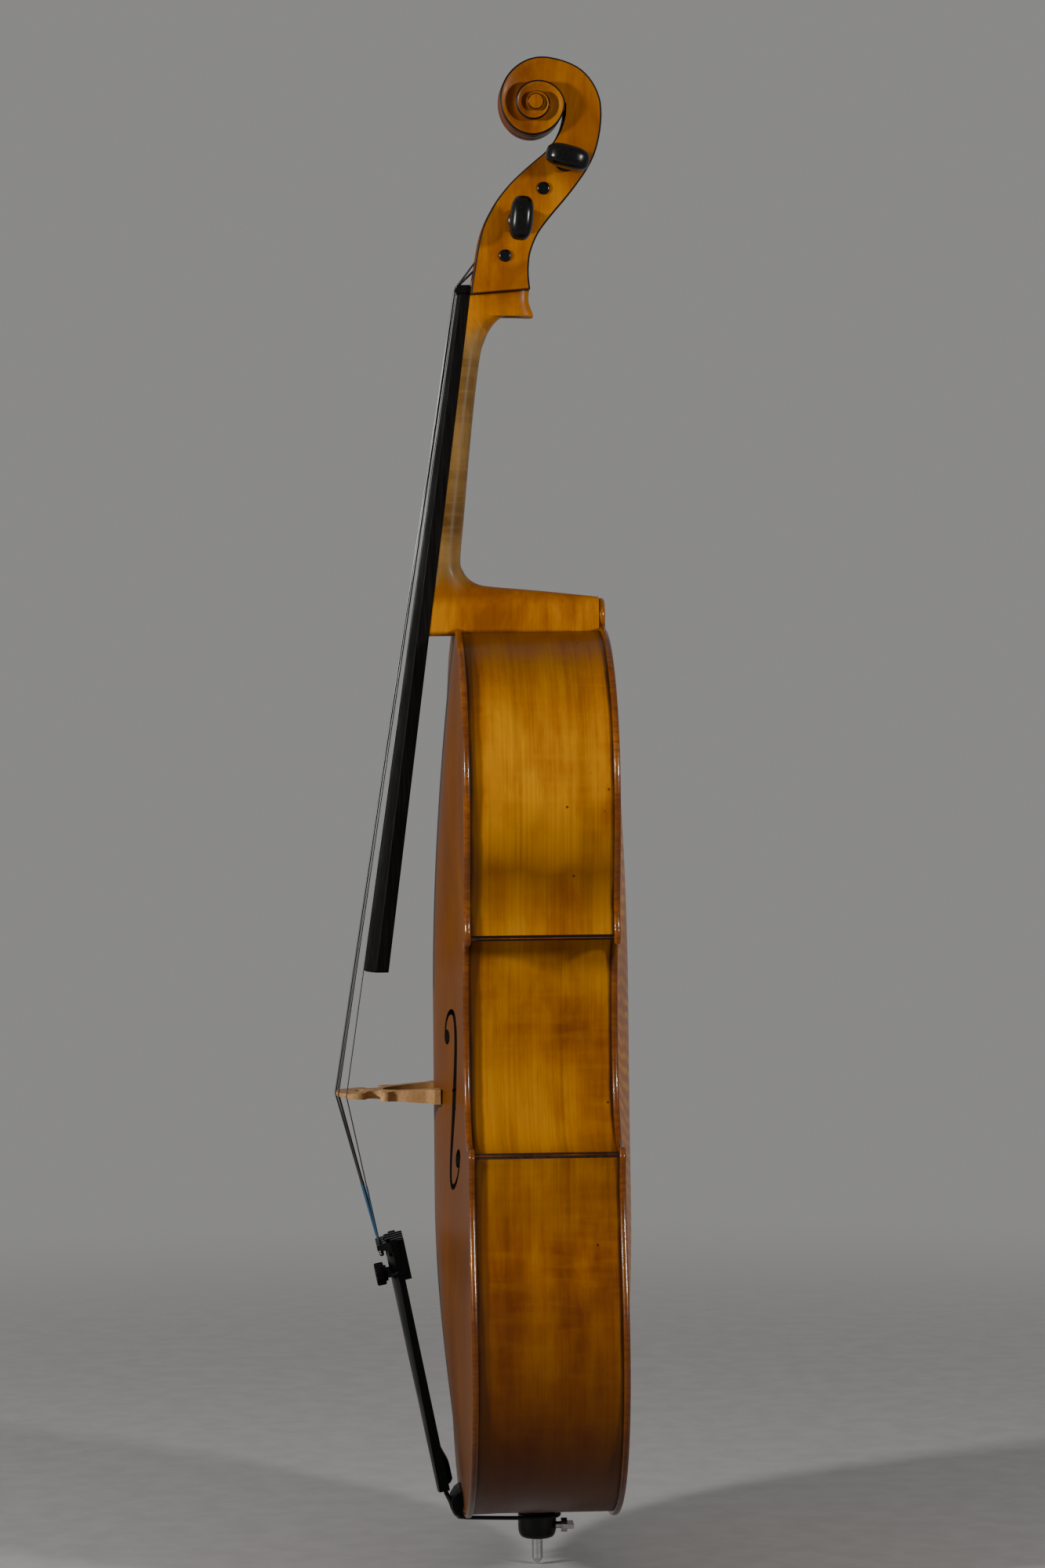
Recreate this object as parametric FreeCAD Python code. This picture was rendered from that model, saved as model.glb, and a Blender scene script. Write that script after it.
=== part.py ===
import FreeCAD, Part
import math
import os

V = FreeCAD.Vector

# Cello, full size, in millimetres.  +Z runs up the body from the endpin tip, +X is the
# treble side, -Y is the belly side.  Shapes are drawn with Z = 0 at the body's lower
# edge and are lifted by BODY_LIFT when they are written.

# ---- body ----
BODY_LIFT = 46.0
BODY_LENGTH = 755.0
RIB_DEPTH = 118.0
PLATE_T = 5.2
OVERHANG = 3.5
RIB_T = 1.8
LINING_T = 2.2
LINING_DEPTH = 12.0
BELLY_RISE = 20.5
BACK_RISE = 17.8
PURFLING_IN = 4.4
PURFLING_W = 1.4
PURFLING_DEPTH = 2.0
BUTTON_R = 15.5
BUTTON_Z = 763.5
GLUE_GAP = 0.02
FIT_GAP = 0.05

RIB_FACE = RIB_DEPTH / 2
EDGE_FACE = RIB_FACE + PLATE_T
RIB_INSIDE = OVERHANG + RIB_T

# ---- neck and fingerboard: straight lines in the side view ----
NUT_Z = 1037.5
NECK_FOOT_Z = 747.6
BOARD_END_Z = 464.0
BOARD_UNDER_NUT = -47.4
BOARD_UNDER_END = -123.0
BOARD_TOP_NUT = -58.1
BOARD_TOP_END = -143.3
BOARD_HALF_NUT = 16.0
BOARD_HALF_END = 31.5
BOARD_CROWN_R = 57.0
NECK_HALF_NUT = 15.6
NECK_HALF_FOOT = 23.0
HEEL_HALF_BUTTON = 15.5

# ---- head ----
PEGBOX_HALF_NUT = 21.0
PEGBOX_HALF_TOP = 16.5
PEGBOX_TOP_Z = 1165.0
EYE_Y = 8.6
EYE_Z = 1197.0
SCROLL_RADII = [56, 50, 42.5, 38.6, 34.6, 31.6, 29.6, 28.8, 28.5, 27.7, 26.3, 25.2, 25]
INNER_RADII = [25, 22.5, 20, 18.4, 17.8, 17.5, 17.2, 16.8, 16, 15, 14, 13, 12]
EYE_R = 8.0
SCROLL_HALF_WIDTHS = [17.5, 25.0, 31.0]

# ---- pegs: string letter, axis Y, axis Z, head side, head turn in degrees ----
PEGS = [
    ("c", -18.0, 1068.2, -1, 60),
    ("a", -5.5, 1097.5, 1, 84),
    ("g", 15.0, 1125.0, -1, 35),
    ("d", 34.0, 1148.5, 1, -15),
]
PEG_R_HEAD = 7.0
PEG_TAPER = 0.043
PEG_GRIP_T = 19.0
PEG_GRIP_ROUND = 6.5

# ---- strings: letter -> radius, X at nut, X at bridge, X at tailpiece, Y at bridge ----
STRINGS = {
    "c": (1.00, -11.0, -23.5, -22.2, -166.2),
    "g": (0.80, -3.7, -8.0, -7.4, -168.3),
    "d": (0.65, 3.7, 8.0, 7.4, -166.2),
    "a": (0.50, 11.0, 23.5, 22.2, -159.6),
}
NUT_STRING_Y = -60.6
NUT_LEAVE_Y = -58.5
NUT_LEAVE_Z = 1043.5
SILK_LENGTH = 46.0

# ---- bridge ----
BRIDGE_Z = 359.2
BRIDGE_HALF_FEET = 45.0
BRIDGE_FOOT_T = 12.4
BRIDGE_TOP_T = 3.0
BRIDGE_HEART_R = 5.5
BRIDGE_HEART_Y = -147.0

# ---- tailpiece, drawn flat and then tipped forward ----
TAIL_TILT = 11.6
TAIL_Y = -85.1
TAIL_Z = 18.8
TAIL_LENGTH = 222.0
TAIL_HALF_LOW = 15.0
TAIL_HALF_HIGH = 31.0
TAIL_THICK = 10.5
TAIL_CROWN_R = 70.0
TUNER_X = {"c": -22.2, "g": -7.4, "d": 7.4, "a": 22.2}
TUNER_SCREW_Z = 191.5
TUNER_SCREW_R = 1.75
TUNER_PIVOT_Y = 8.0
TUNER_PIVOT_Z = 212.0
TUNER_PIN_R = 1.5
TUNER_KNOB_R = 7.0
TUNER_SLOT_W = 8.6
TUNER_LEVER_W = 7.6

# ---- endpin ----
ROD_R = 5.0
ROD_TOP_Z = 454.0
NOSE_R = 4.5
NOSE_LENGTH = 22.0
NOSE_CONE = 5.0
COLLAR_R = 16.5
COLLAR_LOW_Z = -20.0
PLUG_R_LOW = 12.5
PLUG_R_HIGH = 11.0
PLUG_TOP_Z = 42.0
CLAMP_SCREW_R = 3.0
CLAMP_SCREW_Z = -13.0

# ---- body outline, treble half, as cubic curves in (x, z) ----
LOWER_CURVES = [
    [(0, 0), (128, 0), (220, 64), (220, 155)],
    [(220, 155), (220, 225), (173.6, 280.7), (192.5, 321.5)],
]
WAIST_CURVES = [
    [(188.5, 330), (135.2, 317.9), (115.5, 363), (115.5, 425)],
    [(115.5, 425), (115.5, 465), (121, 501.2), (154, 493)],
]
UPPER_CURVES = [
    [(158, 501.5), (145.4, 528.7), (170.5, 567), (170.5, 617)],
    [(170.5, 617), (170.5, 697), (92, BODY_LENGTH), (0, BODY_LENGTH)],
]
CORNERS = [((192.5, 321.5), (188.5, 330)), ((154, 493), (158, 501.5))]


# ------------------------------------------------------------------ small helpers
def lerp(a, b, t):
    return a + (b - a) * t


def bezier_point(curve, t):
    weights = [(1 - t) ** 3, 3 * t * (1 - t) ** 2, 3 * t * t * (1 - t), t ** 3]
    x = sum(w * p[0] for w, p in zip(weights, curve))
    z = sum(w * p[1] for w, p in zip(weights, curve))
    return (x, z)


def chain_points(curves, steps=20):
    points = [bezier_point(curves[0], 0)]
    for curve in curves:
        points += [bezier_point(curve, (i + 1) / steps) for i in range(steps)]
    return points


def spline(points):
    curve = Part.BSplineCurve()
    curve.interpolate(points)
    return curve.toShape()


def spline_xz(points, y):
    return spline([V(p[0], y, p[1]) for p in points])


def polygon(points):
    return Part.Wire(Part.makePolygon(points + [points[0]]))


def face_prism(wire, direction):
    return Part.Face(wire).extrude(direction)


def box(x0, x1, y0, y1, z0, z1):
    return Part.makeBox(x1 - x0, y1 - y0, z1 - z0, V(x0, y0, z0))


def rod(start, end, radius):
    axis = end - start
    return Part.makeCylinder(radius, axis.Length, start, axis)


def side_prism(points, half_width):
    """Polygon given as (y, z) points, spread to both sides of the centre plane."""
    wire = polygon([V(-half_width, p[0], p[1]) for p in points])
    return face_prism(wire, V(2 * half_width, 0, 0))


def mirrored(shape):
    return shape.mirror(V(0, 0, 0), V(1, 0, 0))


def fuse_all(shapes):
    result = shapes[0].multiFuse(shapes[1:])
    return result.removeSplitter()


def save(name, shape):
    shape = shape.copy()
    shape.translate(V(0, 0, BODY_LIFT))
    solids = shape.Solids
    if len(solids) == 1:
        shape = solids[0]
    else:
        shape = Part.makeCompound(solids)
    shape.exportStep("parts/" + name + ".step")
    print(name, len(solids), shape.isValid(), round(shape.Volume / 1000, 2))


# ------------------------------------------------------------------ body outline
def offset_points(points, distance):
    """Move a chain of points inward; inward is to the left of the way it runs."""
    moved = []
    last = len(points) - 1
    for i, point in enumerate(points):
        before = points[max(i - 1, 0)]
        after = points[min(i + 1, last)]
        dx = after[0] - before[0]
        dz = after[1] - before[1]
        size = math.hypot(dx, dz)
        moved.append((point[0] - dz / size * distance, point[1] + dx / size * distance))
    return moved


def extended(points, at_start):
    a, b = (points[1], points[0]) if at_start else (points[-2], points[-1])
    size = math.hypot(b[0] - a[0], b[1] - a[1])
    tip = (b[0] + (b[0] - a[0]) / size * 25, b[1] + (b[1] - a[1]) / size * 25)
    return [tip] + points if at_start else points + [tip]


def segment_crossing(p, q, r, s):
    d = (q[0] - p[0]) * (s[1] - r[1]) - (q[1] - p[1]) * (s[0] - r[0])
    if abs(d) < 1e-9:
        return None
    t = ((r[0] - p[0]) * (s[1] - r[1]) - (r[1] - p[1]) * (s[0] - r[0])) / d
    u = ((r[0] - p[0]) * (q[1] - p[1]) - (r[1] - p[1]) * (q[0] - p[0])) / d
    if 0 <= t <= 1 and 0 <= u <= 1:
        return (lerp(p[0], q[0], t), lerp(p[1], q[1], t))
    return None


def joined(first, second):
    """Trim the end of one chain and the start of the next at their crossing."""
    a = extended(first, False)
    b = extended(second, True)
    for i in range(len(a) - 2, -1, -1):
        for j in range(len(b) - 1):
            point = segment_crossing(a[i], a[i + 1], b[j], b[j + 1])
            if point:
                return a[:i + 1] + [point], [point] + b[j + 1:]
    raise ValueError("outline chains do not cross")


def half_chains(distance):
    chains = [chain_points(c) for c in (LOWER_CURVES, WAIST_CURVES, UPPER_CURVES)]
    if distance == 0:
        return chains
    lower, waist, upper = [offset_points(c, distance) for c in chains]
    lower[0] = (0, distance)
    upper[-1] = (0, BODY_LENGTH - distance)
    lower, waist = joined(lower, waist)
    waist, upper = joined(waist, upper)
    return [lower, waist, upper]


def outline_face(distance, y):
    chains = half_chains(distance)
    flipped = [[(-p[0], p[1]) for p in chain] for chain in chains]
    edges = []
    for chain_set in (chains, flipped):
        for chain in chain_set:
            edges.append(spline_xz(chain, y))
        if distance == 0:
            for a, b in zip(chain_set, chain_set[1:]):
                start = V(a[-1][0], y, a[-1][1])
                edges.append(Part.makeLine(start, V(b[0][0], y, b[0][1])))
    return Part.Face(Part.Wire(Part.sortEdges(edges)[0]))


def outline_prism(distance, y0, y1):
    return outline_face(distance, y0).extrude(V(0, y1 - y0, 0))


def band(index, outer, inner, y0, y1):
    """Strip between two inward offsets of one outline chain, treble side."""
    a = half_chains(outer)[index]
    b = half_chains(inner)[index]
    corners = [V(p[0], y0, p[1]) for p in (a[-1], b[-1], b[0], a[0])]
    edges = [
        spline_xz(a, y0),
        Part.makeLine(corners[0], corners[1]),
        spline_xz(b, y0),
        Part.makeLine(corners[2], corners[3]),
    ]
    return face_prism(Part.Wire(Part.sortEdges(edges)[0]), V(0, y1 - y0, 0))


def corner_frame(corner):
    (ax, az), (bx, bz) = corner
    mid = V((ax + bx) / 2, 0, (az + bz) / 2)
    along = V(bx - ax, 0, bz - az).normalize()
    outward = V(along.z, 0, -along.x)
    return mid, along, outward


def corner_prism(corner, inner, outer, half_length):
    """Block across a corner, between two distances outward from its tip edge."""
    mid, along, outward = corner_frame(corner)
    points = []
    for reach, side in ((inner, -1), (inner, 1), (outer, 1), (outer, -1)):
        points.append(mid + outward * reach + along * (side * half_length))
    wire = polygon([p - V(0, 100, 0) for p in points])
    return face_prism(wire, V(0, 200, 0))


# ------------------------------------------------------------------ arching
def arch_half_width(z):
    low, waist, high = 206.0, 102.0, 157.0
    if z < 155:
        return low * math.sqrt(max(0.0, 1 - ((155 - z) / 142) ** 2))
    if z < 425:
        return waist + (low - waist) * (0.5 + 0.5 * math.cos(math.pi * (z - 155) / 270))
    if z < 617:
        return waist + (high - waist) * (0.5 - 0.5 * math.cos(math.pi * (z - 425) / 192))
    return high * math.sqrt(max(0.0, 1 - ((z - 617) / 126) ** 2))


def long_arch(z):
    if z <= 18 or z >= 742:
        return 0.0
    if z < 270:
        return math.sin(math.pi / 2 * (z - 18) / 252) ** 1.15
    if z > 430:
        return math.cos(math.pi / 2 * (z - 430) / 312) ** 0.9
    return 1.0


def arch(x, z):
    width = arch_half_width(z)
    if width <= 0 or abs(x) >= width:
        return 0.0
    return long_arch(z) * (0.5 + 0.5 * math.cos(math.pi * x / width)) ** 0.85


def arch_face(base, rise, sign):
    """Smooth sheet at |y| = base + rise * arch, on the belly (-1) or back (+1) side."""
    step = 15.0
    xs = [step * i for i in range(-17, 18)]
    zs = [step * i for i in range(-3, 54)]
    poles = [[V(x, sign * (base + rise * arch(x, z)), z) for z in zs] for x in xs]

    def knots(count):
        inner = count - 4
        return [4] + [1] * inner + [4], [float(i) for i in range(inner + 2)]

    u_mults, u_knots = knots(len(xs))
    v_mults, v_knots = knots(len(zs))
    sheet = Part.BSplineSurface()
    sheet.buildFromPolesMultsKnots(poles, u_mults, v_mults, u_knots, v_knots, False, False, 3, 3)
    return sheet.toShape()


def plate(rise, sign):
    slab = arch_face(EDGE_FACE, rise, sign).extrude(V(0, -sign * PLATE_T, 0))
    y0, y1 = sorted((sign * (RIB_FACE - 10), sign * (EDGE_FACE + 40)))
    return slab.common(outline_prism(0, y0, y1))


def inside_space(rise, sign):
    return arch_face(RIB_FACE - GLUE_GAP, rise, sign).extrude(V(0, -sign * 150, 0))


# ------------------------------------------------------------------ belly and back
F_HOLE_X = 77.0
F_HOLE_Z = 358.5
F_UPPER_EYE = (-24.0, 47.0, 5.5)
F_LOWER_EYE = (24.5, -47.0, 7.0)
F_NOTCH = 1.2
F_NICK = 1.4
# Outer edge of the upper hook, from the eye over the top and down to the outer notch.
F_UPPER_OUT = [
    [(-29.5, 47), (-29.5, 62), (-21.5, 73.5), (-11.5, 73.5)],
    [(-11.5, 73.5), (0.5, 73.5), (0.8, 52), (1.6, 34)],
    [(1.6, 34), (2.4, 16), (4.0, 4), (4.3, -5.8)],
]
# Inner edge of the lower hook, from the outer notch down and round to the lower eye.
F_LOWER_IN = [
    [(4.3, -8.2), (4.5, -18), (4.3, -26), (4.4, -36)],
    [(4.4, -36), (4.6, -52), (5, -70.3), (13.5, -70.3)],
    [(13.5, -70.3), (21, -70.3), (27.4, -62), (28.7, -52.6)],
]
# Outer edge of the lower hook, from the lower eye under and up to the inner notch.
F_LOWER_OUT = [
    [(31.5, -47), (31.5, -62), (23, -73.5), (12.5, -73.5)],
    [(12.5, -73.5), (-0.5, -73.5), (-0.8, -52), (-1.6, -34)],
    [(-1.6, -34), (-2.4, -16), (-4.0, -4), (-4.3, 5.8)],
]
# Inner edge of the upper hook, from the inner notch up and round to the upper eye.
F_UPPER_IN = [
    [(-4.3, 8.2), (-4.5, 18), (-4.3, 26), (-4.4, 36)],
    [(-4.4, 36), (-4.6, 52), (-5, 70.8), (-12.5, 70.8)],
    [(-12.5, 70.8), (-20, 70.8), (-26.5, 62), (-27.3, 51.4)],
]


def f_hole():
    """Through-cut for the treble f-hole: a stem with notches, two hooks and two eyes."""
    y = -120.0

    def at(p):
        return V(F_HOLE_X + p[0], y, F_HOLE_Z + p[1])

    def curve_edges(curves):
        edges = []
        for points in curves:
            line = Part.BezierCurve()
            line.setPoles([at(p) for p in points])
            edges.append(line.toShape())
        return edges

    def notch(x, z, depth):
        tip = at((x - depth, z))
        top, low = at((x, z + F_NOTCH)), at((x, z - F_NOTCH))
        return [Part.makeLine(top, tip), Part.makeLine(tip, low)]

    def eye(circle, start, side):
        cx, cz, radius = circle
        middle = at((cx - side * radius * 0.8, cz + side * radius * 0.6))
        return Part.Arc(at(start), middle, at((cx + side * radius, cz))).toShape()

    edges = curve_edges(F_UPPER_OUT) + notch(4.3, -7.0, -F_NICK) + curve_edges(F_LOWER_IN)
    edges.append(eye(F_LOWER_EYE, (28.7, -52.6), 1))
    edges += curve_edges(F_LOWER_OUT) + notch(-4.3, 7.0, F_NICK) + curve_edges(F_UPPER_IN)
    edges.append(eye(F_UPPER_EYE, (-27.3, 51.4), -1))
    return face_prism(Part.Wire(Part.sortEdges(edges)[0]), V(0, 80, 0))


def purfling(sign):
    y0, y1 = sorted((sign * EDGE_FACE, sign * (EDGE_FACE - PURFLING_DEPTH)))
    outer = outline_prism(PURFLING_IN, y0, y1)
    return outer.cut(outline_prism(PURFLING_IN + PURFLING_W, y0, y1))


def top_plate(neck_solid, saddle_solid, inlay):
    shape = plate(BELLY_RISE, -1)
    hole = f_hole()
    for cutter in (hole, mirrored(hole), neck_solid, saddle_solid, inlay):
        shape = shape.cut(cutter)
    return shape


def button():
    tongue = box(-BUTTON_R, BUTTON_R, RIB_FACE, EDGE_FACE, BODY_LENGTH - 12, BUTTON_Z)
    disc = Part.makeCylinder(BUTTON_R, PLATE_T, V(0, RIB_FACE, BUTTON_Z), V(0, 1, 0))
    return tongue.fuse(disc)


def back_plate(inlay):
    return fuse_all([plate(BACK_RISE, 1), button()]).cut(inlay)


# ------------------------------------------------------------------ ribs, linings, blocks
def plug_hole(clearance):
    low = V(0, 0, -1)
    return Part.makeCylinder(PLUG_R_LOW + clearance, PLUG_TOP_Z + 20, low, V(0, 0, 1))


def rib(index, neck_solid):
    shape = band(index, OVERHANG, RIB_INSIDE, -RIB_FACE, RIB_FACE)
    for corner in CORNERS:
        shape = shape.cut(corner_prism(corner, -3.0, 30, 40))
    return shape.cut(neck_solid).cut(plug_hole(FIT_GAP))


def blocks(neck_solid):
    space = outline_prism(RIB_INSIDE + GLUE_GAP, -RIB_FACE + GLUE_GAP, RIB_FACE - GLUE_GAP)
    top = space.common(box(-52, 52, -100, 100, 712, 800)).cut(neck_solid)
    end = space.common(box(-50, 50, -100, 100, 0, 38)).cut(plug_hole(FIT_GAP))
    treble = [space.common(corner_prism(c, -d, 30, 62)) for c, d in zip(CORNERS, (38, 32))]
    corner_group = treble + [mirrored(b) for b in treble]
    return top, end, Part.makeCompound([c.Solids[0] for c in corner_group])


def linings(sign, cutters):
    y0, y1 = sorted((sign * (RIB_FACE - GLUE_GAP), sign * (RIB_FACE - LINING_DEPTH)))
    inner = RIB_INSIDE + LINING_T
    strips = []
    for index in range(3):
        strip = band(index, RIB_INSIDE + GLUE_GAP, inner, y0, y1)
        for cutter in cutters:
            strip = strip.cut(cutter)
        strips += strip.Solids
        strips += mirrored(strip).Solids
    return Part.makeCompound(strips)


def bass_bar(space):
    low, high, x = 78.0, 655.0, -24.0
    points = []
    for i in range(13):
        t = i / 12
        points.append(V(x - 5, -62.5 + 5 * math.sin(math.pi * t), lerp(low, high, t)))
    inner = spline(points)
    front = [V(x - 5, -100, high), V(x - 5, -100, low)]
    edges = [inner, Part.makeLine(points[-1], front[0]), Part.makeLine(front[0], front[1])]
    edges.append(Part.makeLine(front[1], points[0]))
    slab = face_prism(Part.Wire(edges), V(10, 0, 0))
    return slab.common(space)


def sound_post(belly_space, back_space):
    post = Part.makeCylinder(5.5, 200, V(27, -100, BRIDGE_Z - 14), V(0, 1, 0))
    return post.common(belly_space).common(back_space)


# ------------------------------------------------------------------ neck and head
def board_line(z, at_nut, at_end):
    return lerp(at_nut, at_end, (NUT_Z - z) / (NUT_Z - BOARD_END_Z))


def board_under(z):
    return board_line(z, BOARD_UNDER_NUT, BOARD_UNDER_END)


def neck_section(z, back_y):
    """D-shaped handle section: flat under the fingerboard, round to the hand."""
    front = board_under(z)
    half = lerp(NECK_HALF_FOOT, NECK_HALF_NUT, (z - NECK_FOOT_Z) / (NUT_Z - NECK_FOOT_Z))
    side = front + 4.0
    corner = [V(-half, side, z), V(-half, front, z), V(half, front, z), V(half, side, z)]
    count = 8
    points = []
    for i in range(count + 1):
        angle = math.pi * i / count
        x = half * math.cos(angle)
        points.append(V(x, side + (back_y - side) * math.sin(angle) ** 0.9, z))
    edges = [Part.makeLine(a, b) for a, b in zip(corner, corner[1:])]
    return Part.Wire(edges + [spline(points)])


def neck_handle():
    stations = [(780, -58.5), (808, -57.0), (850, -54.0), (900, -49.3)]
    stations += [(950, -43.9), (985, -39.3), (NUT_Z, -30.0)]
    return Part.makeLoft([neck_section(z, y) for z, y in stations], True, False)


def neck_heel():
    """Heel: a wedge that narrows to the button, with its upper edges rounded over."""
    arc = [(-57.5, 812), (-55.5, 803), (-50, 795.5), (-41, 790.8)]
    profile = [(board_under(NECK_FOOT_Z), NECK_FOOT_Z), (board_under(812), 812)] + arc
    profile += [(10, 785.3), (RIB_FACE, 780.0), (RIB_FACE, NECK_FOOT_Z)]
    body = side_prism(profile, NECK_HALF_FOOT + 1)
    plan = [(NECK_HALF_FOOT, -90), (NECK_HALF_FOOT, -70), (HEEL_HALF_BUTTON + 4, 20)]
    plan += [(HEEL_HALF_BUTTON, RIB_FACE)]
    ring = plan + [(-x, y) for x, y in reversed(plan)]
    wedge = face_prism(polygon([V(x, y, 700) for x, y in ring]), V(0, 0, 150))
    return body.common(wedge)


def chin():
    lower = [(3, 1041), (4.5, 1029), (6, 1018), (4, 1016.5), (-10, 1019.5), (-18, 1019)]
    lower += [(-25, 1014), (-31, 1006.5), (-38, 997), (-44, 985)]
    front = [(board_under(985), 985), (board_under(1041), 1041)]
    return side_prism(front + lower, NECK_HALF_NUT - 0.4)


def pegbox():
    foot_z = NUT_Z - 1.5
    front = [(board_under(foot_z) + 0.3, foot_z), (-46, 1048), (-44, 1058), (-41.5, 1073), (-38.5, 1087)]
    front += [(-34, 1099), (-28, 1110), (-20, 1121.5), (-10, 1132.5), (0, 1141.5)]
    front += [(10, 1150), (18, 1157), (26, 1167), (31, 1177), (33.5, 1188), (33.4, EYE_Z)]
    rear = [(EYE_Y + SCROLL_RADII[0], EYE_Z), (65.2, 1189), (64.2, 1175), (62, 1165)]
    rear += [(58.5, 1153), (52.4, 1141), (44, 1129), (34.4, 1117), (24, 1105), (14.5, 1093)]
    rear += [(9.3, 1085), (5.7, 1077), (3.2, 1069), (2, 1059), (2, 1050), (3, NUT_Z + 3.5)]
    body = side_prism(front + rear, PEGBOX_HALF_NUT)
    ring = [V(PEGBOX_HALF_NUT, -100, foot_z), V(PEGBOX_HALF_TOP, -100, PEGBOX_TOP_Z)]
    ring += [V(PEGBOX_HALF_TOP, -100, 1240), V(-PEGBOX_HALF_TOP, -100, 1240)]
    ring += [V(-PEGBOX_HALF_TOP, -100, PEGBOX_TOP_Z), V(-PEGBOX_HALF_NUT, -100, foot_z)]
    return body.common(face_prism(polygon(ring), V(0, 200, 0)))


def pegbox_cavity():
    hollow = [(-80, 1046), (-9, 1046), (-8.5, 1060), (-5, 1077), (3, 1091), (13, 1103)]
    hollow += [(23, 1115), (33, 1126), (41, 1137), (44.5, 1149), (42, 1159), (34, 1164)]
    hollow += [(24, 1163), (14, 1160), (-80, 1160)]
    body = side_prism(hollow, 12.0)
    ring = [V(12, -100, 1040), V(9.6, -100, 1170), V(-9.6, -100, 1170), V(-12, -100, 1040)]
    return body.common(face_prism(polygon(ring), V(0, 200, 0)))


def spiral_prism(radii, half_width):
    """Disc bounded by one turn of the volute and closed along its starting ray."""
    points = []
    for i, radius in enumerate(radii):
        angle = 2 * math.pi * i / (len(radii) - 1)
        y = EYE_Y + radius * math.cos(angle)
        points.append(V(-half_width, y, EYE_Z + radius * math.sin(angle)))
    edges = [spline(points), Part.makeLine(points[-1], points[0])]
    return face_prism(Part.Wire(edges), V(2 * half_width, 0, 0))


def scroll():
    outer, middle, inner = SCROLL_HALF_WIDTHS
    eye = Part.makeCylinder(EYE_R, 2 * inner, V(-inner, EYE_Y, EYE_Z), V(1, 0, 0))
    return [spiral_prism(SCROLL_RADII, outer), spiral_prism(INNER_RADII, middle), eye]


def pegbox_half(z):
    return lerp(PEGBOX_HALF_NUT, PEGBOX_HALF_TOP, (z - NUT_Z) / (PEGBOX_TOP_Z - NUT_Z))


def peg_cone(y, z, side, clearance):
    near = pegbox_half(z)
    start = V(side * (near + 3), y, z)
    length = 2 * near + 5
    top_r = PEG_R_HEAD + PEG_TAPER * 3 + clearance
    end_r = top_r - PEG_TAPER * length
    return Part.makeCone(top_r, end_r, length, start, V(-side, 0, 0))


def neck():
    body = fuse_all([neck_handle(), neck_heel(), chin(), pegbox()] + scroll())
    body = body.cut(pegbox_cavity())
    for letter, y, z, side, turn in PEGS:
        body = body.cut(peg_cone(y, z, side, FIT_GAP))
    return body


def fingerboard():
    wires = []
    for z in (NUT_Z, BOARD_END_Z):
        under = board_under(z) - GLUE_GAP
        top = board_line(z, BOARD_TOP_NUT, BOARD_TOP_END)
        half = board_line(z, BOARD_HALF_NUT, BOARD_HALF_END)
        sag = BOARD_CROWN_R - math.sqrt(BOARD_CROWN_R ** 2 - half ** 2)
        a, b = V(-half, under, z), V(half, under, z)
        c, d = V(half, top + sag, z), V(-half, top + sag, z)
        lines = [Part.makeLine(a, b), Part.makeLine(b, c)]
        lines.append(Part.Arc(c, V(0, top, z), d).toShape())
        lines.append(Part.makeLine(d, a))
        wires.append(Part.Wire(lines))
    return Part.makeLoft(wires, True, True)


# ------------------------------------------------------------------ strings
def nut_y(letter):
    return NUT_STRING_Y + 1.2 * (STRINGS[letter][1] / 11.0) ** 2


def tail_point(x, y, z):
    """Tailpiece drawing point, in body coordinates."""
    tilt = math.radians(TAIL_TILT)
    world_y = TAIL_Y + y * math.cos(tilt) - z * math.sin(tilt)
    return V(x, world_y, TAIL_Z + y * math.sin(tilt) + z * math.cos(tilt))


def peg_of(letter):
    return [peg for peg in PEGS if peg[0] == letter][0]


def winding_x(letter):
    """Middle of the turns of string on the peg."""
    return {"c": -7.6, "g": -3.8, "d": 3.8, "a": 7.6}[letter]


def winding_radius(letter):
    name, y, z, side, turn = peg_of(letter)
    reach = pegbox_half(z) - side * winding_x(letter)
    inner = PEG_R_HEAD - PEG_TAPER * (reach - 2.2) + FIT_GAP
    return inner, inner + 2 * STRINGS[letter][0]


def string_points(letter):
    radius, x_nut, x_bridge, x_tail, y_bridge = STRINGS[letter]
    name, peg_y, peg_z, side, turn = peg_of(letter)
    leave = V(x_nut * 0.98, NUT_LEAVE_Y, NUT_LEAVE_Z)
    reach = winding_radius(letter)[1] + radius + 0.1
    dy, dz = peg_y - leave.y, peg_z - leave.z
    distance = math.hypot(dy, dz)
    angle = math.atan2(dz, dy) + math.asin(reach / distance)
    length = math.sqrt(distance ** 2 - reach ** 2)
    end = V(winding_x(letter), leave.y + length * math.cos(angle), leave.z + length * math.sin(angle))
    bridge = V(x_bridge, y_bridge, BRIDGE_Z)
    nut = V(x_nut, nut_y(letter), NUT_Z + 2.0)
    return [end, leave, nut, bridge, tail_point(x_tail, -3.6, 211.0)]


def chain_solid(points, radius):
    pieces = [rod(a, b, radius) for a, b in zip(points, points[1:])]
    pieces += [Part.makeSphere(radius, p) for p in points[1:-1]]
    return fuse_all(pieces)


def music_string(letter, extra=0.0):
    points = string_points(letter)
    wire = chain_solid(points, STRINGS[letter][0] + extra)
    if extra:
        return wire
    ball = Part.makeSphere(2.1, points[-1])
    return wire.fuse(ball).removeSplitter()


def string_silk(letter):
    radius = STRINGS[letter][0]
    points = string_points(letter)
    bridge, tail = points[3], points[4]
    along = (bridge - tail).normalize()
    low = tail + along * 13.0
    high = low + along * SILK_LENGTH
    return rod(low, high, radius + 0.25).cut(rod(low, high, radius + 0.02))


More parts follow.
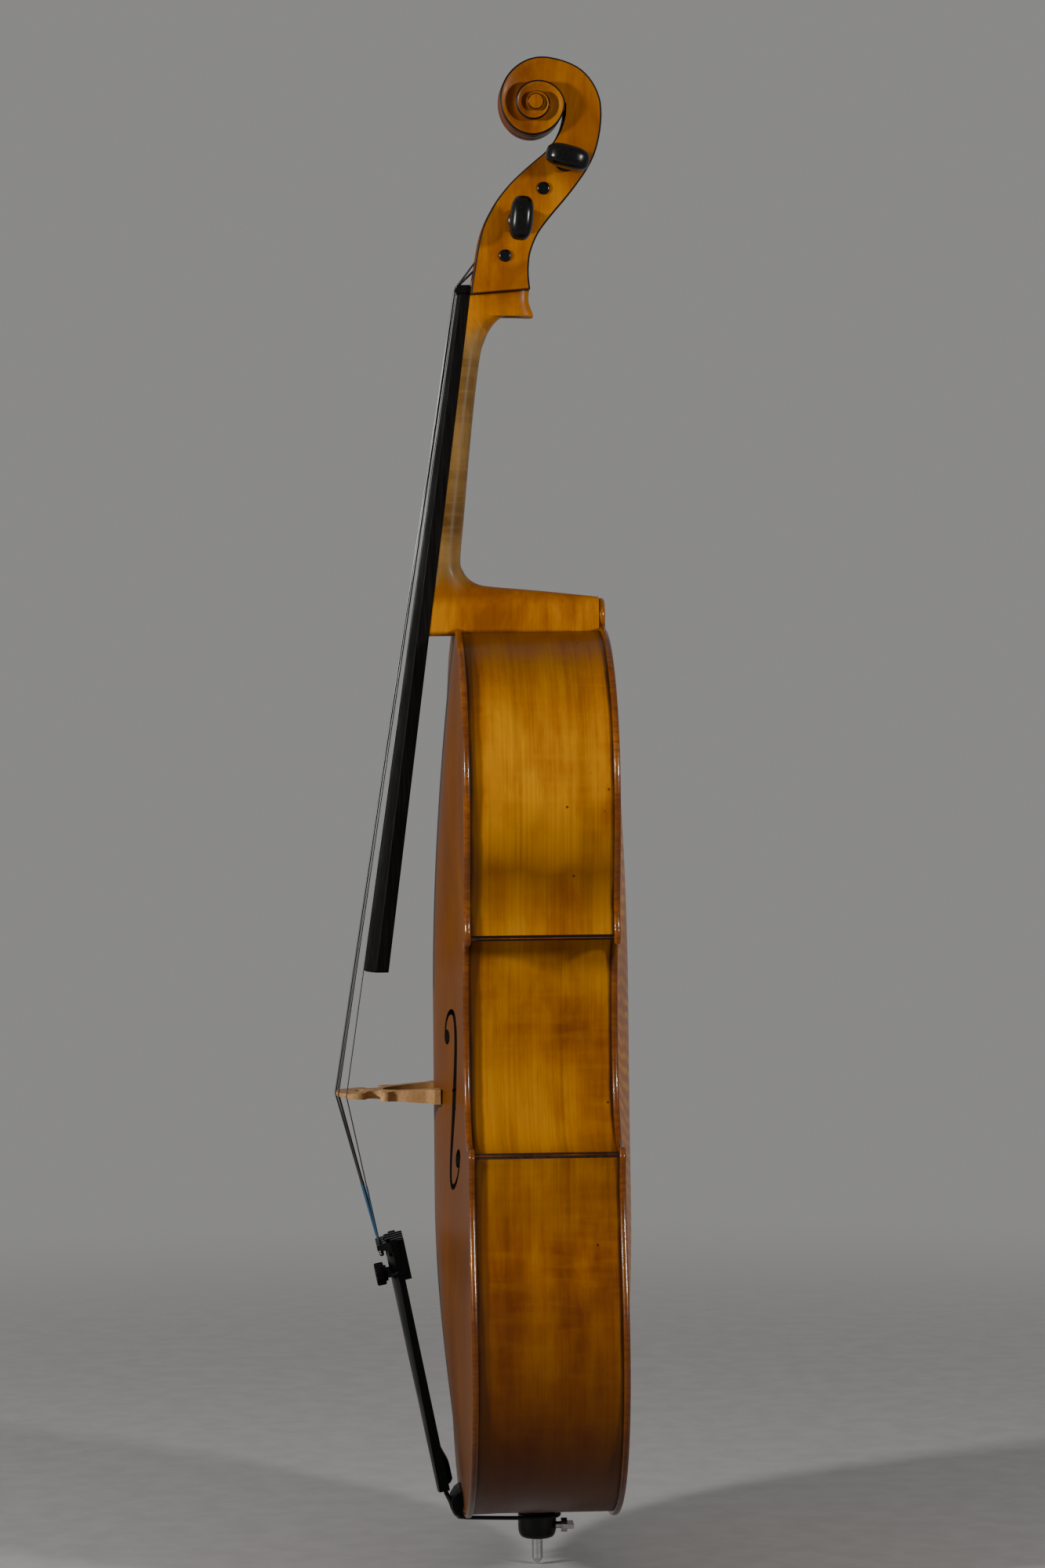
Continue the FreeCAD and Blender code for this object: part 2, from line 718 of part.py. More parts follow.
def nut(grooves):
    y0, y1 = -60.6, BOARD_UNDER_NUT - GLUE_GAP
    z0, z1 = NUT_Z + GLUE_GAP, NUT_Z + 6.5
    shape = box(-16, 16, y0, y1, z0, z1)
    slope = polygon([V(-20, -62, z1 + 0.1), V(-20, -57, z1 + 0.1), V(-20, -62, z1 - 5)])
    shape = shape.cut(face_prism(slope, V(40, 0, 0)))
    for groove in grooves:
        shape = shape.cut(groove)
    return shape


# ------------------------------------------------------------------ bridge
def bridge_outline():
    """Half outline of the bridge as (x, y), from the crown down to the foot and back."""
    side = [(27, -156.8), (28.8, -152), (28.6, -147), (26.5, -143.5), (20, -142.5)]
    side += [(15.2, -139.5), (14, -134.5), (16.5, -130), (21.5, -128.4), (27, -129.8)]
    side += [(32.5, -130.6), (35.2, -128), (35, -124), (32, -120.5), (31.4, -116)]
    side += [(33.8, -108), (36.2, -98), (37.5, -91.5), (41, -88), (45, -85.5)]
    side.append((BRIDGE_HALF_FEET, -60))
    inner = [(27, -60), (27, -88), (25.8, -98), (23, -108), (18.2, -117.5)]
    inner += [(11.5, -124.5), (5, -127.4), (0, -128)]
    return side, inner


def bridge(grooves):
    side, inner = bridge_outline()
    treble = side + inner
    bass = [(-x, y) for x, y in reversed(treble[:-1])]
    crown = [(-27, -163.2), (-23.5, -165.8), (-16, -167.3), (-8, -168.0), (0, -167.4)]
    crown += [(8, -165.8), (16, -163.0), (23.5, -159.2)]
    half = BRIDGE_FOOT_T / 2
    ring = treble + bass + crown
    slab = face_prism(polygon([V(x, y, BRIDGE_Z - half) for x, y in ring]), V(0, 0, 2 * half))
    top = BRIDGE_TOP_T / 2
    low = (-60, BRIDGE_Z - half), (-60, BRIDGE_Z + half)
    wedge = [low[0], (-86, BRIDGE_Z - half), (-175, BRIDGE_Z - top)]
    wedge += [(-175, BRIDGE_Z + top), (-86, BRIDGE_Z + half), low[1]]
    shape = slab.common(side_prism(wedge, 60))
    heart = Part.makeCylinder(BRIDGE_HEART_R, 40, V(0, BRIDGE_HEART_Y, BRIDGE_Z - 20), V(0, 0, 1))
    shape = shape.cut(heart)
    for groove in grooves:
        shape = shape.cut(groove)
    under_belly = arch_face(EDGE_FACE, BELLY_RISE, -1).extrude(V(0, 60, 0))
    return shape.cut(under_belly)


# ------------------------------------------------------------------ tailpiece and tuners
def tipped(shape):
    """Tip a shape drawn on the flat tailpiece forward, and set it on the instrument."""
    shape = shape.copy()
    shape.rotate(V(0, 0, 0), V(1, 0, 0), TAIL_TILT)
    shape.translate(V(0, TAIL_Y, TAIL_Z))
    return shape


def tail_section(z, half, under):
    sag = TAIL_CROWN_R - math.sqrt(TAIL_CROWN_R ** 2 - half ** 2)
    a, b = V(-half, under, z), V(half, under, z)
    c, d = V(half, sag, z), V(-half, sag, z)
    lines = [Part.makeLine(a, b), Part.makeLine(b, c)]
    lines.append(Part.Arc(c, V(0, 0, z), d).toShape())
    lines.append(Part.makeLine(d, a))
    return Part.Wire(lines)


def tailpiece():
    low = tail_section(0, TAIL_HALF_LOW, TAIL_THICK)
    high = tail_section(TAIL_LENGTH, TAIL_HALF_HIGH, TAIL_THICK + 1)
    body = Part.makeLoft([low, high], True, True)
    housing = box(-29.5, 29.5, 6, 17, 186, TAIL_LENGTH - 1.5)
    shape = fuse_all([body, housing])
    for x in TUNER_X.values():
        half = TUNER_SLOT_W / 2
        shape = shape.cut(box(x - half, x + half, 6.6, 30, 183, 208))
        shape = shape.cut(box(x - half, x + half, -10, 30, 207, TAIL_LENGTH + 5))
        hole = Part.makeCylinder(TUNER_SCREW_R + FIT_GAP, 20, V(x, -5, TUNER_SCREW_Z), V(0, 1, 0))
        shape = shape.cut(hole)
    shape = shape.cut(pivot_rod(TUNER_PIN_R + FIT_GAP))
    for x in (-6, 6):
        gut = Part.makeCylinder(2.1, 16, V(x, 6.5, -3), V(0, 0, 1))
        shape = shape.cut(gut)
    shape = shape.cut(box(-9, 9, 3.5, 30, 12, 24))
    return shape


def pivot_rod(radius):
    return Part.makeCylinder(radius, 56, V(-28, TUNER_PIVOT_Y, TUNER_PIVOT_Z), V(1, 0, 0))


def tuner_lever(letter):
    x = TUNER_X[letter]
    half = TUNER_LEVER_W / 2
    ring = [(-6.5, 214.4), (-6.5, 218.8), (2, 220.3), (9.5, 216.8), (12.2, 212), (16.2, 190)]
    ring += [(16.2, 187), (13, 187), (10.4, 206), (7, 207.8), (1.5, 213)]
    wire = polygon([V(x - half, y, z) for y, z in ring])
    shape = face_prism(wire, V(2 * half, 0, 0))
    shape = shape.cut(pivot_rod(TUNER_PIN_R + FIT_GAP))
    return shape.cut(box(x - 1.7, x + 1.7, -8, -0.8, 210, 224))


def tuner_screw(letter):
    start = V(TUNER_X[letter], -10.5, TUNER_SCREW_Z)
    return Part.makeCylinder(TUNER_SCREW_R, 10.5 + 11.8, start, V(0, 1, 0))


def tuner_knob(letter):
    x, z = TUNER_X[letter], TUNER_SCREW_Z
    body = Part.makeCylinder(TUNER_KNOB_R, 8.0, V(x, -12.5, z), V(0, 1, 0))
    hub = Part.makeCylinder(4.0, 2.0, V(x, -4.5, z), V(0, 1, 0))
    shape = body.fuse(hub).removeSplitter()
    for i in range(10):
        angle = 2 * math.pi * i / 10
        y0 = V(x + 7.6 * math.cos(angle), -13.0, z + 7.6 * math.sin(angle))
        shape = shape.cut(Part.makeCylinder(1.2, 9.0, y0, V(0, 1, 0)))
    bore = Part.makeCylinder(TUNER_SCREW_R + FIT_GAP, 9.0, V(x, -10.55, z), V(0, 1, 0))
    return shape.cut(bore)


def saddle():
    profile = [(-RIB_FACE - 0.5, -1.2), (-66, -1.2), (-70, 1.5), (-73.2, 7), (-73.6, 12)]
    profile += [(-70, 18), (-66, 21), (-RIB_FACE - 0.5, 21)]
    body = side_prism(profile, 23)
    for side in (-1, 1):
        path = gut_path()
        body = body.cut(chain_solid([V(side * p.x, p.y, p.z) for p in path[1:6]], 1.75))
    return body


def gut_path():
    """Right-hand strand of the tail gut, from the tailpiece to the collar."""
    start = tail_point(6, 6.5, 13)
    leave = tail_point(6, 6.5, -1)
    return [start, leave, V(7, -74.4, 10), V(7.5, -72.2, 4), V(8.5, -68.5, -1.4),
            V(11, -60, -3.2), V(18.7, -8, -3.4)]


def tail_gut():
    strand = gut_path()
    bend = []
    for i in range(1, 12):
        angle = math.radians(-23 + 226 * i / 12)
        bend.append(V(18.8 * math.cos(angle), 18.8 * math.sin(angle), -3.4))
    other = [V(-p.x, p.y, p.z) for p in reversed(strand)]
    points = strand + bend + other
    return chain_solid(points, 1.7)


# ------------------------------------------------------------------ pegs
def peg(letter, y, z, side, turn):
    near = pegbox_half(z)
    shaft = peg_cone(y, z, side, 0.0)

    def disc(radius, start, length):
        return Part.makeCylinder(radius, length, V(side * (near + start), y, z), V(side, 0, 0))

    collar = disc(11.0, 3.0, 3.5)
    stem = disc(7.6, 6.0, 8.0)
    centre = V(side * (near + 27.0), y, z)
    oval = Part.Ellipse(centre, 19.0, 15.5).toShape()
    paddle = Part.Face(Part.Wire(oval))
    paddle.translate(V(0, 0, -PEG_GRIP_T / 2))
    grip = paddle.extrude(V(0, 0, PEG_GRIP_T))
    grip = grip.makeFillet(PEG_GRIP_ROUND, grip.Edges)
    grip.rotate(centre, V(0, 0, 1), 90)
    grip.rotate(centre, V(1, 0, 0), turn)
    return fuse_all([shaft, collar, stem, grip])


def winding(letter):
    name, y, z, side, turn = peg_of(letter)
    inner, outer = winding_radius(letter)
    start = V(winding_x(letter) - 2.0, y, z)
    tube = Part.makeCylinder(outer, 4.0, start, V(1, 0, 0))
    return tube.cut(Part.makeCylinder(inner, 4.0, start, V(1, 0, 0)))


# ------------------------------------------------------------------ endpin
def endpin_plug():
    rib_z = OVERHANG - GLUE_GAP
    length = PLUG_TOP_Z - rib_z
    plug = Part.makeCone(PLUG_R_LOW, PLUG_R_HIGH, length, V(0, 0, rib_z))
    collar = Part.makeCylinder(COLLAR_R, rib_z - COLLAR_LOW_Z, V(0, 0, COLLAR_LOW_Z))
    lip = Part.makeCone(COLLAR_R - 3, COLLAR_R, 3, V(0, 0, COLLAR_LOW_Z - 3))
    shape = fuse_all([plug, collar, lip])
    shape = shape.cut(Part.makeCylinder(ROD_R + FIT_GAP, 100, V(0, 0, -40)))
    screw = Part.makeCylinder(CLAMP_SCREW_R + FIT_GAP, 30, V(0, 0, CLAMP_SCREW_Z), V(0, 1, 0))
    return shape.cut(screw)


def endpin_rod():
    """Steel rod with a turned-down nose that seats in a stand or an anchor cup."""
    low = -BODY_LIFT
    point = Part.makeCone(0.9, NOSE_R, NOSE_CONE, V(0, 0, low))
    nose = Part.makeCylinder(NOSE_R, NOSE_LENGTH - NOSE_CONE, V(0, 0, low + NOSE_CONE))
    shaft_z = low + NOSE_LENGTH
    shaft = Part.makeCylinder(ROD_R, ROD_TOP_Z - shaft_z, V(0, 0, shaft_z))
    return fuse_all([point, nose, shaft])


def clamp_screw():
    shank = Part.makeCylinder(CLAMP_SCREW_R, 17.5, V(0, ROD_R + 0.15, CLAMP_SCREW_Z), V(0, 1, 0))
    head = Part.makeCylinder(6.0, 5.0, V(0, 20.5, CLAMP_SCREW_Z), V(0, 1, 0))
    wing = box(-9.5, 9.5, 21.5, 31, CLAMP_SCREW_Z - 2, CLAMP_SCREW_Z + 2)
    return fuse_all([shank, head, wing])


# ------------------------------------------------------------------ assembly
def build_body(neck_solid):
    saddle_solid = saddle()
    top_inlay = purfling(-1).cut(neck_solid).cut(saddle_solid)
    back_inlay = purfling(1)
    save("top_plate", top_plate(neck_solid, saddle_solid, top_inlay))
    save("back_plate", back_plate(back_inlay))
    save("purfling_top", top_inlay)
    save("purfling_back", back_inlay)
    save("saddle", saddle_solid)
    for index, place in enumerate(("lower", "center", "upper")):
        strip = rib(index, neck_solid)
        save("rib_" + place + "_treble", strip)
        save("rib_" + place + "_bass", mirrored(strip))
    top_block, end_block, corner_blocks = blocks(neck_solid)
    save("neck_block", top_block)
    save("end_block", end_block)
    save("corner_blocks", corner_blocks)
    cutters = [top_block, end_block, corner_blocks, neck_solid]
    save("linings_top", linings(-1, cutters))
    save("linings_back", linings(1, cutters))
    belly_space = inside_space(BELLY_RISE, -1)
    back_space = inside_space(BACK_RISE, 1)
    save("bass_bar", bass_bar(belly_space))
    save("sound_post", sound_post(belly_space, back_space))


def build_strings():
    grooves = [music_string(letter, 0.05) for letter in STRINGS]
    save("nut", nut(grooves))
    save("bridge", bridge(grooves))
    for letter in STRINGS:
        save("string_" + letter, music_string(letter))
        save("string_silk_" + letter, string_silk(letter))
        save("winding_" + letter, winding(letter))


def build_tail():
    save("tailpiece", tipped(tailpiece()))
    save("tuner_axle", tipped(pivot_rod(TUNER_PIN_R)))
    save("tail_gut", tail_gut())
    for letter in TUNER_X:
        save("tuner_lever_" + letter, tipped(tuner_lever(letter)))
        save("tuner_screw_" + letter, tipped(tuner_screw(letter)))
        save("tuner_knob_" + letter, tipped(tuner_knob(letter)))


def main():
    os.makedirs("parts", exist_ok=True)
    neck_solid = neck()
    save("neck", neck_solid)
    save("fingerboard", fingerboard())
    build_body(neck_solid)
    build_strings()
    build_tail()
    for letter, y, z, side, turn in PEGS:
        save("peg_" + letter, peg(letter, y, z, side, turn))
    save("endpin_plug", endpin_plug())
    save("endpin_rod", endpin_rod())
    save("clamp_screw", clamp_screw())


main()
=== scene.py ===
import math

import bmesh
import bpy
from mathutils import Euler, Matrix, Vector
from mathutils.geometry import delaunay_2d_cdt


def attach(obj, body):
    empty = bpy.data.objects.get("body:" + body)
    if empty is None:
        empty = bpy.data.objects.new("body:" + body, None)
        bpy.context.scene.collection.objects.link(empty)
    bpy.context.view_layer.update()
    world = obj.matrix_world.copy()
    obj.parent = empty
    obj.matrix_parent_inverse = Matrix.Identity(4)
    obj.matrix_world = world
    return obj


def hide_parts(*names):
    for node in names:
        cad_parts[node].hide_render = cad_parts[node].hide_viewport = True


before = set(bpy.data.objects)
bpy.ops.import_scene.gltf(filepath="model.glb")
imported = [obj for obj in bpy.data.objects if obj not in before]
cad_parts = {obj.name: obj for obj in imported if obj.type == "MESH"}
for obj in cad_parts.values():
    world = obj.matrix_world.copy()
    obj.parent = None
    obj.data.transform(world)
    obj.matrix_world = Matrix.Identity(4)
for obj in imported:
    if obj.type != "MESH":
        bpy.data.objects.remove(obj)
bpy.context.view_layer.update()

# Cello, drawn in millimetres with Z = 0 at the body's lower edge, and placed in the
# row frame (metres, Z = 0 at the endpin tip).  +X treble side, -Y belly side.
LIFT = 46.0
BODY = "cello_body"

BODY_LENGTH = 755.0
RIB_FACE = 59.0
OVERHANG, RIB_T = 3.5, 1.8
BELLY_RISE = 20.5
BACK_RISE = 17.68
BUTTON_R = 15.5
BUTTON_Z = 763.5
NUT_Z = 1037.5
NECK_FOOT_Z = 747.6
BOARD_END_Z = 464.0
EYE_Y, EYE_Z = 8.6, 1197.0
BRIDGE_Z = 359.2
TAIL_TILT, TAIL_Y, TAIL_Z = math.radians(11.6), -85.1, 18.8

# the photograph's viewpoint in the row frame: metres, and degrees about X, Y and Z
CAMERA_PLACE = (4.08767, -0.24035, 0.78734)
CAMERA_TURN = (88.3186, 0.5463, 86.7093)
CAMERA_LENS = 110.47


def lerp(a, b, t):
    return a + (b - a) * t


def clamp01(t):
    return max(0.0, min(1.0, t))


def smooth(t):
    t = clamp01(t)
    return t * t * (3 - 2 * t)


# ------------------------------------------------------------------ mesh helpers
def row_point(p):
    return Vector((p[0] / 1000, p[1] / 1000, (p[2] + LIFT) / 1000))


def face_outward(bm):
    bmesh.ops.recalc_face_normals(bm, faces=bm.faces)
    if bm.calc_volume(signed=True) < 0:
        bmesh.ops.reverse_faces(bm, faces=bm.faces)


def mesh_from(bm, name):
    mesh = bpy.data.meshes.new(name)
    bm.to_mesh(mesh)
    bm.free()
    return mesh


def make_piece(name, part, mats, replaced=(), body=BODY, angle=38,
               face_mats=None, weld=True):
    """Closed piece from a part (millimetre points, faces), with outward normals."""
    verts, faces = part
    bm = bmesh.new()
    made = [bm.verts.new(row_point(v)) for v in verts]
    for k, face in enumerate(faces):
        ring = []
        for i in face:
            if not ring or made[i] is not ring[-1]:
                ring.append(made[i])
        if len(set(ring)) < 3 or bm.faces.get(ring):
            continue
        item = bm.faces.new(ring)
        item.material_index = face_mats[k] if face_mats else 0
    if weld:
        bmesh.ops.remove_doubles(bm, verts=bm.verts, dist=2e-6)
        bmesh.ops.dissolve_degenerate(bm, dist=1e-7, edges=bm.edges)
    face_outward(bm)
    add_piece(name, mesh_from(bm, name), mats, replaced, body, angle)


def add_piece(name, mesh, mats, replaced, body, angle):
    """Object with smooth shading, its materials and its place in the frame."""
    for mat in mats if isinstance(mats, (list, tuple)) else [mats]:
        mesh.materials.append(mat)
    mesh.shade_smooth()
    mesh.set_sharp_from_angle(angle=math.radians(angle))
    piece = bpy.data.objects.new(name, mesh)
    bpy.context.scene.collection.objects.link(piece)
    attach(piece, body)
    if replaced:
        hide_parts(*replaced)
    return piece


def soften(piece, width_mm, segments, angle):
    mod = piece.modifiers.new("edges", "BEVEL")
    mod.width = width_mm / 1000
    mod.segments = segments
    mod.limit_method = "ANGLE"
    mod.angle_limit = math.radians(angle)


def loft(sections):
    """Quads between rings with the same number of points, and a face over each end."""
    verts = [p for ring in sections for p in ring]
    n = len(sections[0])
    faces = []
    for i in range(len(sections) - 1):
        for j in range(n):
            k = (j + 1) % n
            faces.append((i * n + j, i * n + k, (i + 1) * n + k, (i + 1) * n + j))
    faces.append(tuple(range(n)))
    faces.append(tuple((len(sections) - 1) * n + j for j in range(n)))
    return verts, faces


def spline(a, b, c, d, t):
    """Catmull-Rom value between b and c."""
    return 0.5 * (2 * b + (c - a) * t + (2 * a - 5 * b + 4 * c - d) * t * t
                  + (3 * b - a - 3 * c + d) * t ** 3)


def from_table(table, t):
    """Value at t on the straight lines between the table's (place, value) pairs."""
    for (a, u), (b, v) in zip(table, table[1:]):
        if t <= b:
            return lerp(u, v, (t - a) / (b - a))
    return table[-1][1]


def catmull(points, per):
    """Smooth curve through the points, per steps for each span."""
    result = []
    last = len(points) - 1
    for i in range(last):
        p0, p1 = points[max(i - 1, 0)], points[i]
        p2, p3 = points[i + 1], points[min(i + 2, last)]
        for k in range(per):
            result.append(tuple(spline(a, b, c, d, k / per)
                                for a, b, c, d in zip(p0, p1, p2, p3)))
    result.append(tuple(points[last]))
    return result


def straight(points, per):
    result = []
    for a, b in zip(points, points[1:]):
        result += [tuple(lerp(u, v, k / per) for u, v in zip(a, b)) for k in range(per)]
    return result + [tuple(points[-1])]


def lathe(stations, centre, axis, count):
    """Rings of (distance along the axis, radius) about an axis through centre."""
    axis = Vector(axis).normalized()
    side = axis.orthogonal().normalized()
    other = axis.cross(side)
    centre = Vector(centre)
    rings = []
    for along, radius in stations:
        ring = []
        for i in range(count):
            a = 2 * math.pi * i / count
            ring.append(centre + axis * along + (side * math.cos(a) + other * math.sin(a)) * radius)
        rings.append(ring)
    return loft(rings)


def joined_parts(parts):
    verts, faces = [], []
    for v, f in parts:
        base = len(verts)
        verts += list(v)
        faces += [tuple(i + base for i in face) for face in f]
    return verts, faces


# ------------------------------------------------------------------ materials
class Nodes:
    """Small helper for building a node material."""

    def __init__(self, name):
        self.mat = bpy.data.materials.new(name)
        self.mat.use_nodes = True
        self.tree = self.mat.node_tree
        self.tree.nodes.clear()
        out = self.tree.nodes.new("ShaderNodeOutputMaterial")
        self.shader = self.tree.nodes.new("ShaderNodeBsdfPrincipled")
        self.tree.links.new(self.shader.outputs[0], out.inputs[0])
        self.coords = self.tree.nodes.new("ShaderNodeTexCoord").outputs["Object"]
        split = self.add("ShaderNodeSeparateXYZ", {0: self.coords})
        self.x, self.y, self.z = split.outputs[0], split.outputs[1], split.outputs[2]

    def add(self, kind, inputs=None, **props):
        node = self.tree.nodes.new(kind)
        for key, value in props.items():
            setattr(node, key, value)
        for key, value in (inputs or {}).items():
            self.feed(node.inputs[key], value)
        return node

    def feed(self, socket, value):
        if isinstance(value, bpy.types.NodeSocket):
            self.tree.links.new(value, socket)
        else:
            socket.default_value = value

    def set(self, **values):
        for key, value in values.items():
            self.feed(self.shader.inputs[key.replace("_", " ")], value)

    def math(self, operation, a, b=0.0):
        return self.add("ShaderNodeMath", {0: a, 1: b}, operation=operation).outputs[0]

    def scaled(self, sx, sy, sz):
        node = self.add("ShaderNodeMapping", {0: self.coords})
        node.inputs["Scale"].default_value = (sx, sy, sz)
        return node.outputs[0]

    def noise(self, scale, detail=4.0, rough=0.55, distortion=0.0):
        """Noise with so many features to the metre along X, Y and Z."""
        node = self.add("ShaderNodeTexNoise", {"Vector": self.scaled(*scale), "Scale": 1.0,
                                               "Detail": detail, "Roughness": rough,
                                               "Distortion": distortion})
        return node.outputs[0]

    def band(self, value, low, high, out_low=0.0, out_high=1.0):
        node = self.add("ShaderNodeMapRange", {0: value, 1: low, 2: high, 3: out_low, 4: out_high},
                        interpolation_type="SMOOTHSTEP", clamp=True)
        return node.outputs[0]

    def ramp(self, value, stops):
        node = self.add("ShaderNodeValToRGB", {0: value})
        elements = node.color_ramp.elements
        while len(elements) < len(stops):
            elements.new(0.5)
        for element, (place, colour) in zip(elements, stops):
            element.position = place
            element.color = (*colour, 1)
        return node.outputs[0]

    def mix(self, factor, a, b):
        node = self.add("ShaderNodeMix", data_type="RGBA")
        self.feed(node.inputs[0], factor)
        self.feed(node.inputs[6], a if isinstance(a, bpy.types.NodeSocket) else (*a, 1))
        self.feed(node.inputs[7], b if isinstance(b, bpy.types.NodeSocket) else (*b, 1))
        return node.outputs[2]

    def tint(self, under, over, value, low, high, share):
        """Lay a colour over another, up to the share, as value goes from low to high."""
        return self.mix(self.band(value, low, high, 0.0, share), under, over)

    def bump(self, height, strength, distance):
        node = self.add("ShaderNodeBump", {"Height": height, "Strength": strength,
                                           "Distance": distance})
        self.feed(self.shader.inputs["Normal"], node.outputs[0])

    def finish(self, colour, rough, relief, **more):
        """Colour, roughness (a value, or a texture and two limits) and bump of the material."""
        if isinstance(rough, tuple):
            texture, low, high = rough
            rough = self.band(texture, 0.3, 0.7, low, high)
        self.set(Base_Color=colour, Roughness=rough, **more)
        self.bump(*relief)
        return self.mat


AMBER_LIGHT = (0.52, 0.215, 0.0006)
AMBER = (0.35, 0.118, 0.0006)
AMBER_DEEP = (0.16, 0.036, 0.0006)
BROWN_SEAM = (0.022, 0.006, 0.001)
ORANGE_BROWN = (0.135, 0.036, 0.002)
TAN = (0.140, 0.072, 0.017)
# row height in metres and how far the ribs are darkened there: painted shade for light falling off
# toward the bottom and shade under the corners, partly darker varnish patches
RIB_SHADE = [(0.04, 0.96), (0.12, 0.90), (0.21, 0.72), (0.27, 0.46), (0.325, 0.62), (0.38, 0.40),
             (0.48, 0.44), (0.545, 0.34), (0.61, 0.76), (0.675, 0.12), (0.73, 0.20), (0.79, 0.78)]


def maple_rib():
    """Glossy golden varnish on curly maple ribs: upright grain, clouded brown mottling, painted shade
    by height and a painted shadow below the belly's edge.
    """
    n = Nodes("rib_varnish")
    cloud = n.noise((0.001, 26, 9), 5, 0.60, 0.15)
    broad = n.noise((0.001, 7.5, 5.6), 3, 0.55, 0.15)
    grain = n.noise((0.001, 430, 5), 4, 0.65)
    streak = n.noise((0.001, 95, 2.2), 3, 0.6)
    flame = n.noise((0.001, 14, 110), 2, 0.5, 0.4)
    tone = n.math("ADD", n.math("MULTIPLY", cloud, 0.45), n.math("MULTIPLY", broad, 0.55))
    colour = n.ramp(tone, [(0.36, AMBER_DEEP), (0.47, AMBER), (0.57, AMBER_LIGHT)])
    colour = n.tint(colour, AMBER_DEEP, grain, 0.42, 0.68, 0.30)
    colour = n.tint(colour, (0.13, 0.030, 0.0006), streak, 0.52, 0.70, 0.30)
    colour = n.tint(colour, AMBER_LIGHT, flame, 0.45, 0.68, 0.16)
    # painted shade by height, partly darker varnish, its edges made ragged by the broad mottling
    drift = n.math("ADD", n.z, n.math("MULTIPLY", n.math("SUBTRACT", broad, 0.5), 0.12))
    shade = n.ramp(drift, [(height, (dark, dark, dark)) for height, dark in RIB_SHADE])
    colour = n.mix(shade, colour, (0.050, 0.009, 0.0006))
    frayed = n.math("MULTIPLY", n.noise((20, 20, 20), 5), 0.006)
    # painted shadow of the belly's overhanging edge cast on the ribs, put on both sides
    overhang_shadow = n.band(n.math("SUBTRACT", n.y, frayed), -0.0505, -0.0535, 0.0, 0.66)
    colour = n.mix(overhang_shadow, colour, (0.060, 0.017, 0.0008))
    ragged = n.math("ADD", n.math("ABSOLUTE", n.y), frayed)
    colour = n.tint(colour, BROWN_SEAM, ragged, 0.0585, 0.0620, 0.9)
    specks = n.add("ShaderNodeTexVoronoi", {"Vector": n.scaled(38, 38, 38), "Scale": 1.0})
    colour = n.tint(colour, BROWN_SEAM, specks.outputs[0], 0.055, 0.03, 0.8)
    relief = n.math("ADD", grain, n.math("MULTIPLY", n.noise((22, 22, 9), 2), 3.0))
    return n.finish(colour, (cloud, 0.30, 0.44), (relief, 0.20, 0.0003),
                    Specular_IOR_Level=0.16, Coat_Weight=0.05, Coat_Roughness=0.12)


def spruce_belly():
    """Orange-brown varnish over straight-grained spruce, with clouding and painted shade toward the
    bottom.
    """
    n = Nodes("belly_varnish")
    bend = n.math("MULTIPLY", n.noise((4, 4, 1.5), 2), 0.010)
    across = n.math("ADD", n.x, bend)
    year = n.math("FRACT", n.math("MULTIPLY", across, 620.0))
    late = n.band(year, 0.55, 0.97, 0.0, 1.0)
    fine = n.noise((900, 200, 10), 3, 0.6)
    cloud = n.noise((8, 8, 4), 5, 0.6, 0.4)
    colour = n.ramp(cloud, [(0.30, (0.072, 0.019, 0.0010)), (0.50, (0.118, 0.034, 0.0012)),
                            (0.70, (0.170, 0.054, 0.0018))])
    colour = n.mix(n.math("MULTIPLY", late, 0.50), colour, (0.06, 0.014, 0.001))
    colour = n.tint(colour, (0.30, 0.11, 0.008), fine, 0.45, 0.75, 0.16)
    # painted shade: the belly darkens toward the bottom
    colour = n.tint(colour, (0.030, 0.007, 0.001), n.z, 0.30, 0.05, 0.55)
    relief = n.math("ADD", n.math("MULTIPLY", late, 0.8), fine)
    return n.finish(colour, (cloud, 0.36, 0.50), (relief, 0.22, 0.0003),
                    Specular_IOR_Level=0.14, Coat_Weight=0.04, Coat_Roughness=0.2)


def plate_edge():
    """Edge work of both plates: glossy orange-brown with fine curl, dark worn dents and painted shade
    toward the bottom.
    """
    n = Nodes("edge_varnish")
    curl = n.noise((60, 60, 330), 3, 0.55, 0.8)
    cloud = n.noise((16, 16, 12), 5, 0.65)
    colour = n.ramp(cloud, [(0.30, (0.075, 0.017, 0.001)), (0.50, ORANGE_BROWN),
                            (0.72, (0.25, 0.075, 0.003))])
    colour = n.tint(colour, (0.06, 0.013, 0.001), curl, 0.44, 0.62, 0.45)
    # painted shade: the edges darken toward the bottom
    colour = n.tint(colour, (0.035, 0.008, 0.001), n.z, 0.40, 0.06, 0.62)
    colour = n.tint(colour, (0.25, 0.078, 0.001), n.z, 0.8015, 0.8045, 0.85)
    return n.finish(colour, 0.26, (n.noise((45, 45, 60), 3, 0.6), 0.35, 0.0009),
                    Specular_IOR_Level=0.16, Coat_Weight=0.34, Coat_Roughness=0.035)


